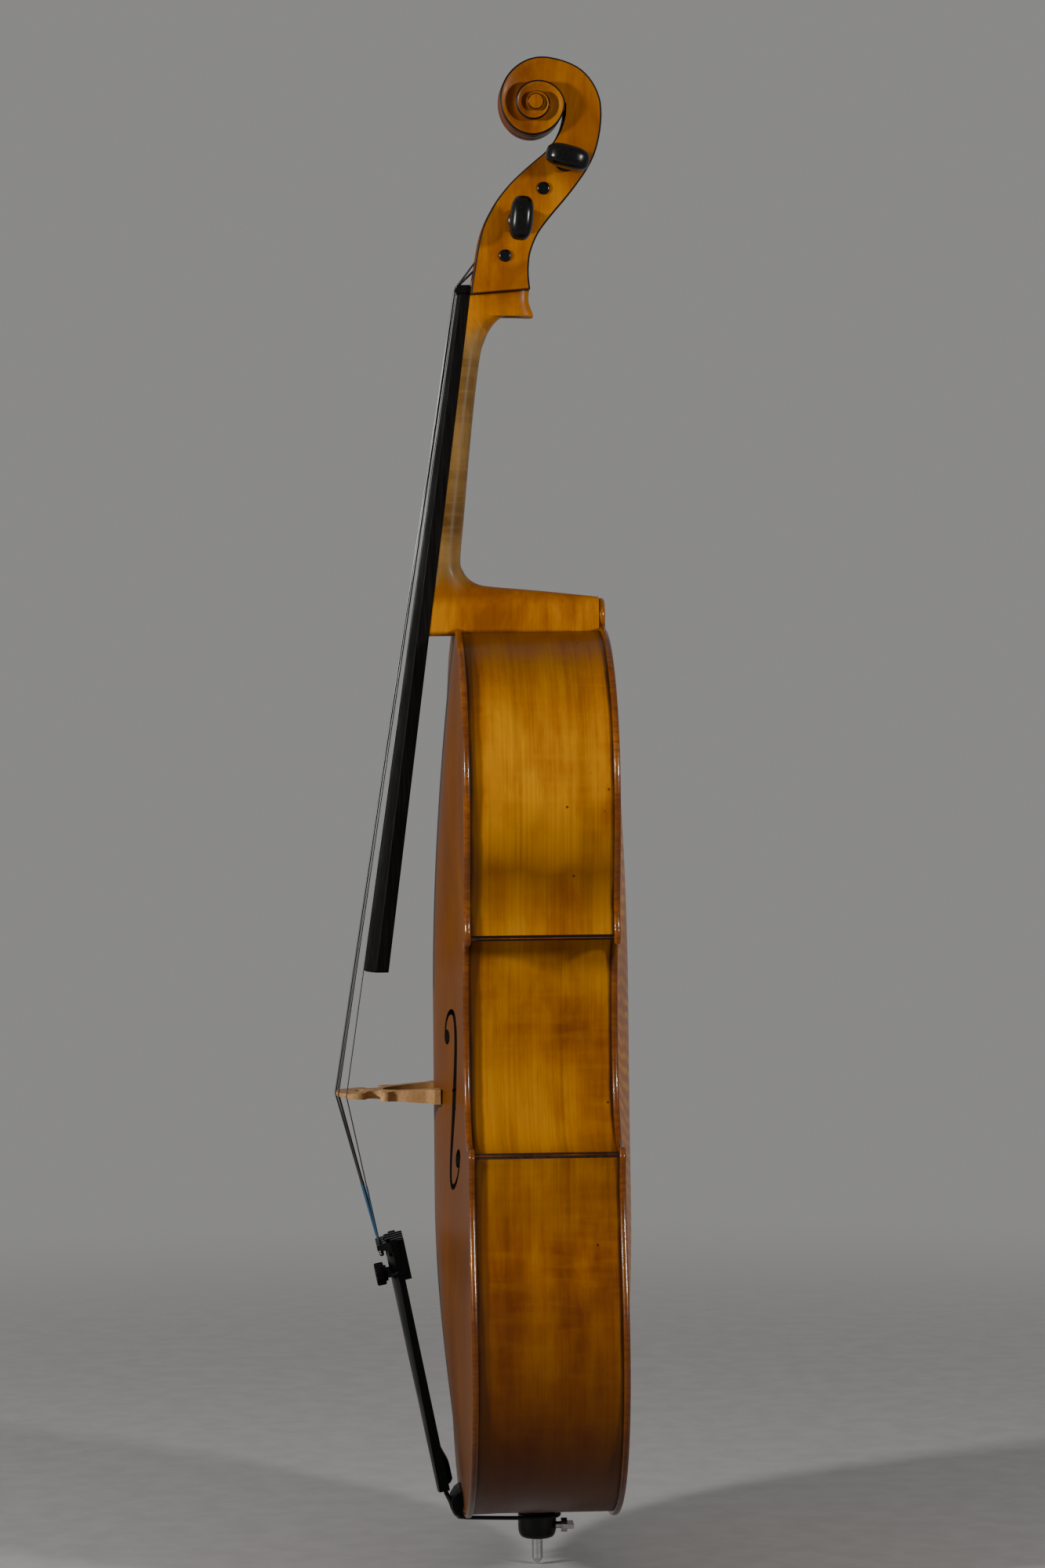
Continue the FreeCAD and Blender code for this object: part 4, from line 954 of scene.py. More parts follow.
# half widths: handle at foot and nut; heel at the belly side, in the ribs and at the button
HANDLE_HALF = (23.0, 15.6)
HEEL_HALF = (23.0, 19.5, 15.5)
HEEL_Y = (-70.0, 20.0, 59.0)
HANDLE_FROM_Z = 900.0


def neck_half(y, z):
    """Half width of the neck, going over from the handle to the wedge of the heel."""
    handle = lerp(*HANDLE_HALF, clamp01((z - NECK_FOOT_Z) / (NUT_Z - NECK_FOOT_Z)))
    if z >= HANDLE_FROM_Z:
        return handle
    k = 0 if y < HEEL_Y[1] else 1
    wedge = lerp(*HEEL_HALF[k:k + 2], clamp01((y - HEEL_Y[k]) / (HEEL_Y[k + 1] - HEEL_Y[k])))
    return lerp(handle, wedge, smooth((y + 62) / 40))


def neck_ring(front, back, power, straight_part):
    """Section from the flat fingerboard side round the back of the hand."""
    fy, fz = front
    by, bz = back
    steps = 16
    side = []
    for i in range(steps + 1):
        a = math.pi / 2 * i / steps
        q = straight_part + (1 - straight_part) * math.sin(a) ** (2 / power)
        y, z = lerp(fy, by, q), lerp(fz, bz, q)
        side.append((neck_half(y, z) * math.cos(a) ** (2 / power) if i < steps else 0.0, y, z))
    right = [(neck_half(fy, fz), fy, fz)] + side
    return right + [(-x, y, z) for x, y, z in reversed(right[:-1])]


NECK_STATIONS = [
    # front (y, z), back (y, z), squareness, straight share
    ((-47.0, 1041.0), (3.0, 1041.0), 5.0, 0.15),
    ((-48.3, 1031.0), (2.4, 1030.0), 5.0, 0.15),
    ((-49.4, 1023.0), (6.2, 1018.0), 4.6, 0.15),
    ((-49.9, 1019.0), (2.0, 1017.4), 4.0, 0.16),
    ((-50.3, 1016.0), (-9.5, 1019.8), 3.2, 0.17),
    ((-50.8, 1012.0), (-18.0, 1018.6), 2.8, 0.18),
    ((-51.3, 1008.0), (-25.0, 1014.0), 2.5, 0.18),
    ((-52.0, 1003.0), (-31.0, 1006.5), 2.3, 0.18),
    ((-52.9, 996.0), (-35.2, 997.5), 2.2, 0.18),
    ((-54.3, 985.0), (-39.0, 985.0), 2.1, 0.18),
    ((-58.9, 950.0), (-43.9, 950.0), 2.1, 0.18),
    ((-65.5, 900.0), (-49.3, 900.0), 2.1, 0.18),
    ((-72.1, 850.0), (-54.0, 850.0), 2.1, 0.18),
    ((-77.1, 812.0), (-57.5, 813.0), 2.2, 0.18),
    ((-79.4, 795.0), (-55.5, 803.0), 2.4, 0.18),
    ((-81.6, 778.0), (-50.0, 795.5), 2.7, 0.2),
    ((-84.0, 760.0), (-41.0, 790.8), 3.0, 0.2),
    ((-85.6, 747.6), (-28.0, 788.9), 3.6, 0.2),
    ((-55.0, 747.6), (-10.0, 787.2), 4.4, 0.2),
    ((-22.0, 747.6), (10.0, 785.3), 5.0, 0.2),
    ((18.0, 747.6), (35.0, 782.6), 5.5, 0.2),
    ((59.0, 747.6), (59.0, 780.0), 6.0, 0.2),
]


def build_neck():
    fronts = straight([s[0] for s in NECK_STATIONS], 6)
    backs = catmull([s[1] for s in NECK_STATIONS], 6)
    shape = straight([(s[2], s[3]) for s in NECK_STATIONS], 6)
    rings = []
    for front, back, (power, share) in zip(fronts, backs, shape):
        if front[1] > NECK_FOOT_Z + 0.01:
            front = (board_line(front[1], BOARD_UNDER), front[1])
        rings.append(neck_ring(front, back, power, share))
    make_piece("Neck_handle_and_heel", loft(rings), MAT["neck"], ["neck"],
               angle=42)


# (y, z) on the back and on the front of the pegbox, from the nut to the scroll
PEGBOX_PAIRS = [
    ((3.0, 1040.0), (-47.3, 1036.0)), ((2.0, 1050.0), (-46.2, 1046.0)),
    ((2.0, 1059.0), (-44.2, 1057.0)), ((3.2, 1069.0), (-42.0, 1070.0)),
    ((5.7, 1077.0), (-39.7, 1082.0)), ((9.3, 1085.0), (-36.2, 1093.5)),
    ((14.5, 1093.0), (-31.6, 1103.5)), ((24.0, 1105.0), (-24.3, 1115.6)),
    ((34.4, 1117.0), (-14.0, 1128.3)), ((44.0, 1129.0), (-3.0, 1139.0)),
    ((52.4, 1141.0), (8.0, 1148.4)), ((58.5, 1153.0), (17.0, 1156.0)),
    ((62.2, 1165.0), (24.3, 1165.0)), ((64.2, 1176.0), (30.0, 1175.6)),
    ((65.1, 1187.0), (33.2, 1187.0)), ((64.6, 1197.0), (33.6, 1197.0)),
]
CHAMFER = 1.5
FLUTE_DEPTH = 2.4
PEGBOX_HALF, PEGBOX_TOP_Z = (21.0, 16.5), 1165.0
WALL_X = (12.0, 9.6)
FLOOR_T = 10.5
HEAD_STEPS = 6
OPENING = (1.25, 11.6)  # where the hollow begins and ends, counted in pairs


def pegbox_half(z):
    return lerp(*PEGBOX_HALF, clamp01((z - NUT_Z) / (PEGBOX_TOP_Z - NUT_Z)))


def flute(x, half, depth):
    """Depth of the two hollows down the back of the head, at a distance x from its spine."""
    return depth * math.sin(math.pi * clamp01(x / (half - CHAMFER))) ** 1.3


def pegbox_section(back, front, hollow):
    """Half section of the pegbox from the spine of the back to the middle of the front."""
    by, bz = back
    fy, fz = front
    length = math.hypot(fy - by, fz - bz)
    uy, uz = (fy - by) / length, (fz - bz) / length
    half = pegbox_half(lerp(bz, fz, 0.5))
    points = []
    for k in range(9):
        x = (half - CHAMFER) * k / 8
        inset = flute(x, half, FLUTE_DEPTH * smooth((bz - 1050) / 60))
        points.append((x, by + uy * inset, bz + uz * inset))
    tags = [1] * 8
    for q in (CHAMFER / length, 0.25, 0.5, 0.75, 1 - CHAMFER / length):
        points.append((half, lerp(by, fy, q), lerp(bz, fz, q)))
    tags += [2, 0, 0, 0, 0]
    points.append((half - CHAMFER, fy, fz))
    tags.append(2)
    wall = lerp(*WALL_X, clamp01((bz - 1040) / 130))
    depth = max(0.0, length - FLOOR_T) * hollow
    for x, share in ((wall, 0), (wall - 0.2, 0.5), (wall - 0.6, 1), (wall * 0.5, 1), (0.0, 1)):
        points.append((x, fy - uy * depth * share, fz - uz * depth * share))
        tags.append(0)
    return points, tags


def build_pegbox():
    pairs = [(*b, *f) for b, f in PEGBOX_PAIRS]
    dense = catmull(pairs, HEAD_STEPS)
    rings = []
    start, end = (place * HEAD_STEPS for place in OPENING)
    for i, (by, bz, fy, fz) in enumerate(dense):
        hollow = smooth((i - start) / 1.2) * smooth((end - i) / 1.8)
        half, tags = pegbox_section((by, bz), (fy, fz), hollow)
        rings.append(half + [(-x, y, z) for x, y, z in reversed(half[1:-1])])
    mats = (tags + list(reversed(tags))) * (len(rings) - 1) + [0, 0]
    make_piece("Pegbox", loft(rings), [MAT["neck"], MAT["rim"], MAT["line"]],
               face_mats=mats, angle=42)


# ------------------------------------------------------------------ scroll
# radius of the volute every 30 degrees, three turns inward from the front of the pegbox
SPIRAL = [56, 50, 42.5, 38.6, 34.6, 31.6, 29.6, 28.8, 28.5, 27.7, 26.3, 25.4, 25, 22.3, 19.8,
          18.2, 17.6, 17.3, 17.1, 16.7, 16, 15, 14, 13, 12, 10.9, 9.9, 9.2, 8.7, 8.35, 8.05,
          7.8, 7.6, 7.4, 7.2, 7.0, 6.9]
SPIRAL_BEFORE = 60.0
EYE_R = 6.9
SCOOP = 4.6
# (half turns, half width) of the volute
SPIRAL_HALF = [(0, 16.5), (0.5, 17.6), (1, 20.6), (1.5, 24.4), (2, 26.3), (3, 28.2), (4, 29.5),
               (6, 30.7)]


def spiral_radius(theta):
    t = theta / (math.pi / 6)
    i = min(int(t), len(SPIRAL) - 2)
    u = t - i
    p = [SPIRAL[max(0, min(len(SPIRAL) - 1, i + k))] for k in (-1, 0, 1, 2)]
    if i == 0:
        p[0] = SPIRAL_BEFORE
    if i >= len(SPIRAL) - 3:
        return lerp(p[1], p[2], u)
    return spline(*p, u)


def spiral_width(theta):
    return from_table(SPIRAL_HALF, theta / math.pi)


SLICES = 72
# steps across the head's hollowed spine, its shoulder and the side of a turn
RIM_A, RIM_B, BAND = 6, 4, 9


def scroll_slice(k):
    """One radial slice of the volute, from the rim over the turn to the next turn's edge."""
    theta = 2 * math.pi * k / SLICES
    r_out, r_in = spiral_radius(theta), EYE_R
    w_next = spiral_width(6 * math.pi)
    if k <= 2 * SLICES:
        r_in = spiral_radius(theta + 2 * math.pi)
        w_next = spiral_width(theta + 2 * math.pi)
    width = spiral_width(theta)
    gap = r_out - r_in
    drop = min(CHAMFER, 0.3 * gap)
    scoop = min(SCOOP, 0.42 * gap) * smooth(theta / (0.55 * math.pi))
    foot = width - scoop
    rim, tags = [], []
    if k <= SLICES:
        split = lerp(width * 0.55, spiral_width(0), smooth(k / SLICES))
        fade = 1 - smooth((k / SLICES - 0.72) / 0.2)
        places = [split * i / RIM_A for i in range(RIM_A)]
        places += [lerp(split, width - CHAMFER, i / RIM_B) for i in range(RIM_B)]
        rim = [(x, r_out - flute(x, width, FLUTE_DEPTH * fade)) for x in places]
        tags += [1] * (RIM_A + RIM_B)
    points = rim + [(width - CHAMFER, r_out), (width, r_out - drop)]
    tags.append(2)
    for i in range(1, BAND + 1):
        t = i / BAND
        dip = scoop * (math.sin(math.pi / 2 * t) ** 1.5 if t < 1 else 1.0)
        points.append((width - dip, lerp(r_out - drop, r_in, t)))
        tags.append(0)
    for i in range(1, RIM_B + 1):
        points.append((lerp(foot, w_next - CHAMFER, i / RIM_B), r_in))
        tags.append(0)
    c, s = math.cos(theta), math.sin(theta)
    return [(x, EYE_Y + r * c, EYE_Z + r * s) for x, r in points], tags


def build_scroll():
    verts, faces, mats = [], [], []
    slices = [scroll_slice(k) for k in range(3 * SLICES + 1)]
    index = []
    for points, _ in slices:
        index.append(range(len(verts), len(verts) + len(points)))
        verts += points
    for k in range(3 * SLICES):
        a, b, tags = index[k], index[k + 1], slices[k][1]
        if len(a) != len(b):
            a = a[len(a) - len(b):]
            tags = tags[-(len(b) - 1):]
        for j in range(len(b) - 1):
            faces.append((a[j], a[j + 1], b[j + 1], b[j]))
            mats.append(tags[j])
    top = spiral_width(6 * math.pi)
    rim = [index[2 * SLICES + k][-1] for k in range(SLICES)]
    for radius, height in ((EYE_R - 0.9, top), (EYE_R * 0.45, top + 0.5)):
        ring = []
        for k in range(SLICES):
            a = 2 * math.pi * k / SLICES
            ring.append(len(verts))
            verts.append((height, EYE_Y + radius * math.cos(a), EYE_Z + radius * math.sin(a)))
        for k in range(SLICES):
            m = (k + 1) % SLICES
            faces.append((rim[k], rim[m], ring[m], ring[k]))
            mats.append(2 if height == top else 0)
        rim = ring
    faces.append(tuple(rim))
    mats.append(0)
    count = len(verts)
    verts += [(-x, y, z) for x, y, z in verts]
    faces += [tuple(i + count for i in reversed(f)) for f in faces]
    mats += mats
    start = list(index[0][:RIM_A + RIM_B + 2 + BAND])
    end = list(index[SLICES][:RIM_A])
    cap = start + list(reversed(end))
    faces.append(tuple(cap + [i + count for i in reversed(cap)]))
    mats.append(0)
    make_piece("Scroll", (verts, faces), [MAT["neck"], MAT["rim"], MAT["line"]],
               face_mats=mats, angle=42)


# ------------------------------------------------------------------ fingerboard
BOARD_CROWN_R = 57.0
BOARD_ARRIS = 1.0
BOARD_HOLLOW = 5.0
HOLLOW_TOP_Z = 735.0


def board_section(z, shrink):
    """Ring at height z: crowned top, rounded edges and a hollow underside past the neck."""
    under = board_line(z, BOARD_UNDER) - 0.02
    top = board_line(z, BOARD_TOP) + shrink
    half = board_line(z, BOARD_HALF) - shrink
    r, crown = BOARD_ARRIS, BOARD_CROWN_R
    edge_y = top + crown - math.sqrt(crown ** 2 - half ** 2)
    ring = []
    for k in range(25):
        x = lerp(half - r, -(half - r), k / 24)
        ring.append((x, top + crown - math.sqrt(crown ** 2 - x * x), z))
    arris = []
    for k in range(1, 4):
        a = math.pi / 2 * k / 4
        arris.append((-(half - r + r * math.sin(a)), edge_y + r * (1 - math.cos(a)) - 0.35, z))
    ring += arris + [(-half, edge_y + r, z), (-half, under - 0.8, z), (-half + 0.8, under, z)]
    hollow = BOARD_HOLLOW * smooth((HOLLOW_TOP_Z - z) / 40) * smooth((z - BOARD_END_Z + 6) / 20)
    for k in range(1, 16):
        x = lerp(-half + 3.0, half - 3.0, k / 16)
        ring.append((x, under - hollow * (1 - (x / (half - 3.0)) ** 2), z))
    ring += [(half - 0.8, under, z), (half, under - 0.8, z), (half, edge_y + r, z)]
    return ring + [(-x, y, z) for x, y, z in reversed(arris)]


def build_fingerboard():
    heights = [NUT_Z, NUT_Z - 0.6] + [lerp(NUT_Z - 3, BOARD_END_Z + 2, k / 40) for k in range(41)]
    heights += [BOARD_END_Z + 0.7, BOARD_END_Z]
    shrinks = [0.7, 0.2] + [0.0] * 41 + [0.2, 0.7]
    rings = [board_section(z, shrink) for z, shrink in zip(heights, shrinks)]
    make_piece("Fingerboard", loft(rings), MAT["ebony"], ["fingerboard"], angle=40)


# ------------------------------------------------------------------ bridge
# (x, y) outlines of the bridge on the treble side, and its crown and heart
BRIDGE_SIDE = [(27, -157), (28.8, -152), (28.6, -147.5), (26.3, -143.7), (20.5, -142.6),
               (15.6, -140), (13.8, -134.8), (16, -130.2), (21.5, -128.2), (27, -129.8),
               (32.2, -131), (35.4, -128.4), (35.2, -124.4), (32.2, -120.6), (31.2, -115.8),
               (33.6, -108), (36.0, -98), (37.4, -91.8), (41, -88.2), (44.6, -86.4), (45, -84)]
BRIDGE_FOOT = [(45, -80.5), (27, -80.5)]
BRIDGE_ARCH = [(27, -84), (26.8, -90), (25.4, -99), (22.8, -108), (18.2, -117.2), (11.5, -124.3),
               (5, -127.5), (0, -128.2)]
BRIDGE_CROWN = [(-27, -157.0), (-26.5, -160.8), (-23.5, -165.2), (-16, -167.2), (-8, -167.9),
                (0, -167.3), (8, -165.7), (16, -162.9), (23.5, -159.1), (26.3, -158.2), (27, -157)]
BRIDGE_HEART = [(0, -139), (2.3, -142.2), (5.2, -145.5), (6.2, -149), (4.6, -152), (1.9, -151.6),
                (0, -148.9)]
BRIDGE_HALF_T = (6.2, 1.5)  # half thickness at the feet and at the crown
BRIDGE_PITCH = (3.0, 2.8)
BRIDGE_COLUMNS, BRIDGE_ROWS, BRIDGE_BASE = range(-15, 16), range(32), -168.0
BRIDGE_GAP = 1.7


def bridge_half_thick(y):
    return lerp(*BRIDGE_HALF_T, clamp01((-86 - y) / 82.0))


def build_bridge():
    treble = catmull(BRIDGE_SIDE, 4)
    treble += straight([BRIDGE_SIDE[-1]] + BRIDGE_FOOT + [BRIDGE_ARCH[0]], 4)[1:-1]
    treble += catmull(BRIDGE_ARCH, 4)
    bass = [(-x, y) for x, y in reversed(treble[:-1])]
    ring = treble + bass[:-1] + catmull(BRIDGE_CROWN, 4)[:-1]
    heart = catmull(BRIDGE_HEART + [(-x, y) for x, y in reversed(BRIDGE_HEART[:-1])], 3)[:-1]
    flat, tris = filled(ring, [heart], BRIDGE_COLUMNS, BRIDGE_ROWS, BRIDGE_PITCH, BRIDGE_BASE,
                        BRIDGE_GAP)
    bm = bmesh.new()
    front, back = ([bm.verts.new(row_point((x, y, BRIDGE_Z + side * bridge_half_thick(y))))
                    for x, y in flat] for side in (1, -1))
    for tri in tris:
        bm.faces.new([front[i] for i in tri])
    rim = [e for e in bm.edges if len(e.link_faces) == 1]
    for tri in tris:
        bm.faces.new([back[i] for i in reversed(tri)])
    number = {v: i for i, v in enumerate(front)}
    for e in rim:
        a, b = number[e.verts[0]], number[e.verts[1]]
        bm.faces.new([front[a], front[b], back[b], back[a]])
    for v in [v for v in bm.verts if not v.link_faces]:
        bm.verts.remove(v)
    face_outward(bm)
    piece = add_piece("Bridge", mesh_from(bm, "Bridge"), MAT["bridge"], ["bridge"], BODY,
                      35)
    soften(piece, 0.45, 2, 50)


# ------------------------------------------------------------------ tailpiece and tuners
TAIL_LENGTH = 222.0
TAIL_HALF = (15.0, 31.0)  # half width at the lower and upper end
HEEL_Z = (5.0, 40.0)
HEEL_SEAT = 9.0  # depth at which the heel meets the tailpiece
TUNER_X = {"c": -22.2, "g": -7.4, "d": 7.4, "a": 22.2}
KNOB_R, KNOB_Z, KNOB_LOBES = 7.0, 191.5, 7
# (depth, share of the radius) along a tuner's knob and its neck
KNOB_PROFILE = [(-12.5, 0.80), (-12.3, 0.90), (-11.7, 0.97), (-10.8, 1.0), (-6.0, 1.0),
                (-5.0, 0.97), (-4.5, 0.88), (-4.45, 0.57), (-2.9, 0.55), (-2.5, 0.50)]


def tail_point(x, y, z):
    """Place in the tailpiece's own tilted frame, turned into the body's."""
    c, s = math.cos(TAIL_TILT), math.sin(TAIL_TILT)
    return (x, TAIL_Y + y * c - z * s, TAIL_Z + y * s + z * c)


def tail_heel():
    """Thicker lower end of the tailpiece, cut off at a slant below the hole for the gut."""
    rings = []
    for k in range(17):
        z = lerp(*HEEL_Z, k / 16)
        half = lerp(*TAIL_HALF, z / TAIL_LENGTH) - 1.6
        under = 9.6 + z / TAIL_LENGTH + 5.0 * smooth((40 - z) / 22) * clamp01((z - 2) / 5)
        ring = [(half, HEEL_SEAT), (-half, HEEL_SEAT), (-half, under - 1.4),
                (-half + 0.5, under - 0.4), (-half + 1.6, under), (half - 1.6, under),
                (half - 0.5, under - 0.4), (half, under - 1.4)]
        slant = 0.45 * clamp01((26 - z) / 26)
        rings.append([tail_point(x, y, z + slant * (y - HEEL_SEAT)) for x, y in ring])
    return loft(rings)


def knob(x):
    """Fluted knob of a fine tuner, in front of the tailpiece."""
    rings = []
    for y, scale in KNOB_PROFILE:
        ring = []
        for k in range(80):
            a = 2 * math.pi * k / 80
            r = KNOB_R * scale
            if scale > 0.7:
                r *= 1 - 0.22 * (0.5 - 0.5 * math.cos(KNOB_LOBES * a)) ** 1.6
            ring.append(tail_point(x + r * math.cos(a), y, KNOB_Z + r * math.sin(a)))
        rings.append(ring)
    return loft(rings)


def build_tailpiece():
    make_piece("Tailpiece_heel", tail_heel(), MAT["black"], angle=45)
    for letter, x in TUNER_X.items():
        make_piece("Tuner_knob_" + letter, knob(x), MAT["black"], ["tuner_knob_" + letter],
                   body="tuner_knob_" + letter, angle=45)


def tube_part(points, radius, sides, per):
    """Round cord through the points, as a closed loft."""
    path = [Vector(p) for p in catmull([tuple(p) for p in points], per)]
    rings = []
    side = None
    for i, p in enumerate(path):
        ahead = path[min(i + 1, len(path) - 1)] - path[max(i - 1, 0)]
        ahead.normalize()
        side = ahead.orthogonal().normalized() if side is None else side
        side = (side - ahead * side.dot(ahead)).normalized()
        other = ahead.cross(side)
        rings.append([p + (side * math.cos(2 * math.pi * k / sides)
                           + other * math.sin(2 * math.pi * k / sides)) * radius
                      for k in range(sides)])
    return loft(rings)


def tube(name, points, radius, mat, replaced=(), body=BODY, sides=16, per=8):
    make_piece(name, tube_part(points, radius, sides, per), mat, replaced, body, 60)


GUT_R = 1.7
GUT_BEND_R, GUT_BEND_Z = 18.8, -3.4


def build_tail_gut():
    """One loop: out of the tailpiece, over the saddle, round the collar and back."""
    def side(s):
        start, leave = tail_point(6, 6.5, 13), tail_point(6, 6.5, -1)
        strand = [start, leave, (7, -74.4, 10), (7.5, -72.2, 4), (8.5, -68.5, -1.4),
                  (11, -60, -3.2), (18.7, -8, -3.4)]
        return [(s * x, y, z) for x, y, z in strand]

    turns = [math.radians(-23 + 226 * i / 8) for i in range(1, 8)]
    bend = [(GUT_BEND_R * math.cos(a), GUT_BEND_R * math.sin(a), GUT_BEND_Z) for a in turns]
    points = side(1) + bend + list(reversed(side(-1)))
    tube("Tail_gut", points, GUT_R, MAT["cord"], ["tail_gut"])


# ------------------------------------------------------------------ pegs and strings
# string letter, Y and Z of the axis, side of the head, turn of the head in degrees
PEGS = [("c", -18.0, 1068.2, -1, 60), ("a", -5.5, 1097.5, 1, 84),
        ("g", 15.0, 1125.0, -1, 35), ("d", 34.0, 1148.5, 1, -15)]
WINDING_X = {"c": -7.6, "g": -3.8, "d": 3.8, "a": 7.6}
STRING_R = {"c": 1.0, "g": 0.8, "d": 0.65, "a": 0.5}
# ends of each string: X at nut, X at bridge, X at tailpiece, Y at nut, Y at bridge
STRING_LINE = {"c": (-11.0, -23.5, -22.2, -59.4, -166.2), "g": (-3.7, -8.0, -7.4, -60.464, -168.3),
               "d": (3.7, 8.0, 7.4, -60.464, -166.2), "a": (11.0, 23.5, 22.2, -59.4, -159.6)}
NUT_LEAVE_Y, NUT_LEAVE_Z = -58.5, 1043.5
BALL_R, BALL_Y, BALL_Z = 2.1, -3.6, 211.0
BEND = 1.2  # length on each side of a corner over which a string bends
PEG_R, PEG_TAPER = 7.0, 0.043
PEG_TIP = 2.0
PEG_SIDES = 48
# (distance out from the pegbox, radius) of the collar and the waist behind the head
PEG_COLLAR = [(3.02, 8.9), (3.4, 9.8), (4.3, 10.1), (5.3, 10.0), (6.0, 9.4), (6.3, 8.3),
              (6.9, 8.0), (7.6, 8.6), (8.4, 8.5), (9.2, 7.4), (11.5, 6.9), (13.5, 6.8),
              (15.0, 6.9)]
# (distance out, half width, half thickness, squareness) of the head
PEG_HEAD = [(16.0, 9.0, 7.6, 2.0), (18.0, 12.4, 8.4, 2.3), (20.5, 15.6, 9.1, 2.5),
            (23.5, 17.8, 9.6, 2.8), (27.0, 18.8, 9.8, 3.0), (31.0, 18.6, 9.8, 3.0),
            (34.5, 17.6, 9.6, 3.0), (37.5, 15.9, 9.0, 3.0), (39.8, 13.4, 7.9, 2.9),
            (41.4, 10.2, 6.2, 2.7), (42.3, 6.6, 4.2, 2.4), (42.5, 2.4, 1.6, 2.2)]
COIL_TURNS, COIL_STEPS = 4, 22


def peg_radius(along):
    """Radius of a peg's taper at a distance out from the pegbox."""
    return PEG_R + PEG_TAPER * along


def string_points(letter):
    """Straight runs of a string: peg, nut, bridge, tuner."""
    x_nut, x_bridge, x_tail, y_nut, y_bridge = STRING_LINE[letter]
    peg_y, peg_z, side = [peg[1:4] for peg in PEGS if peg[0] == letter][0]
    radius = STRING_R[letter]
    reach = peg_radius(side * WINDING_X[letter] - pegbox_half(peg_z)) + 3 * radius + 0.1
    leave = Vector((x_nut * 0.98, NUT_LEAVE_Y, NUT_LEAVE_Z))
    dy, dz = peg_y - leave.y, peg_z - leave.z
    distance = math.hypot(dy, dz)
    angle = math.atan2(dz, dy) + math.asin(reach / distance)
    length = math.sqrt(distance ** 2 - reach ** 2)
    end = Vector((WINDING_X[letter], leave.y + length * math.cos(angle),
                  leave.z + length * math.sin(angle)))
    return [end, leave, Vector((x_nut, y_nut, NUT_Z + 2.0)), Vector((x_bridge, y_bridge, BRIDGE_Z)),
            Vector(tail_point(x_tail, BALL_Y, BALL_Z))]


def build_string(letter):
    """Plain wire bent over the nut and the bridge, with the ball at its lower end."""
    corners = string_points(letter)
    points = [corners[0]]
    for before, corner, after in zip(corners, corners[1:], corners[2:]):
        points += [corner.lerp(before, BEND / (before - corner).length), corner,
                   corner.lerp(after, BEND / (after - corner).length)]
    points.append(corners[-1])
    wire = tube_part(points, STRING_R[letter], 12, 1)
    turns = [math.pi * (k / 10 - 0.5) for k in range(11)]
    ball = lathe([(BALL_R * math.sin(a), max(0.02, BALL_R * math.cos(a))) for a in turns],
                 tuple(corners[-1]), (1, 0, 0), 20)
    make_piece("String_" + letter, joined_parts([wire, ball]), MAT["string"],
               ["string_" + letter], angle=60)


def build_peg(letter, y, z, side, turn):
    """Tapered shaft, turned collar and flattened head."""
    near = pegbox_half(z)
    end = -(2 * near + PEG_TIP)
    tip_r = peg_radius(end)
    round_part = [(end, tip_r * 0.35), (end + 0.12, tip_r * 0.72), (end + 0.5, tip_r * 0.94)]
    round_part += [(a, peg_radius(a) - 0.02) for a in (end + 1.2, -near, 0.0, 3.0)] + PEG_COLLAR
    sections = [(along, r, r, 2.0) for along, r in round_part] + PEG_HEAD
    axis = Vector((side, 0, 0))
    origin = Vector((side * near, y, z))
    long_dir = Vector((0, math.cos(math.radians(turn)), math.sin(math.radians(turn))))
    thin_dir = axis.cross(long_dir).normalized()
    rings = []
    for along, wide, thick, power in sections:
        ring = []
        for k in range(PEG_SIDES):
            c, s = (f(2 * math.pi * k / PEG_SIDES) for f in (math.cos, math.sin))
            u = math.copysign(abs(c) ** (2 / power), c) * wide
            v = math.copysign(abs(s) ** (2 / power), s) * thick
            ring.append(origin + axis * along + long_dir * u + thin_dir * v)
        rings.append(ring)
    make_piece("Peg_" + letter, loft(rings), MAT["peg"], ["peg_" + letter],
               body="peg_" + letter, angle=50)
    build_winding(letter, y, z, side)


def build_winding(letter, y, z, side):
    """String coiled on the peg in a few close turns."""
    r_string = STRING_R[letter]
    middle = WINDING_X[letter]
    r = peg_radius(side * middle - pegbox_half(z)) + r_string * 0.9
    half = min(5.0, 2.05 * r_string * COIL_TURNS) / 2
    points = []
    for k in range(COIL_TURNS * COIL_STEPS + 1):
        a = 2 * math.pi * k / COIL_STEPS
        x = middle + lerp(-half, half, k / (COIL_TURNS * COIL_STEPS))
        points.append((x, y + r * math.cos(a), z + r * math.sin(a)))
    tube("String_coil_" + letter, points, r_string * 0.96, MAT["string"], ["winding_" + letter],
         body="peg_" + letter, sides=10, per=1)


# ------------------------------------------------------------------ endpin unit
# (height, radius) of the collar from inside the end block to its lower lip
COLLAR = [(42.0, 11.0), (3.4, 12.4), (3.3, 15.3), (2.4, 16.3), (0.8, 16.5),
          (-1.0, 16.3), (-1.6, 15.6), (-2.2, 16.3), (-12.0, 16.4), (-17.0, 16.1),
          (-20.0, 15.2), (-22.2, 13.6), (-23.0, 11.6), (-23.0, 6.2), (-21.8, 5.4)]


def build_endpin():
    make_piece("Endpin_collar", lathe(COLLAR, (0, 0, 0), (0, 0, 1), 64), MAT["peg"],
               ["endpin_plug"], angle=45)


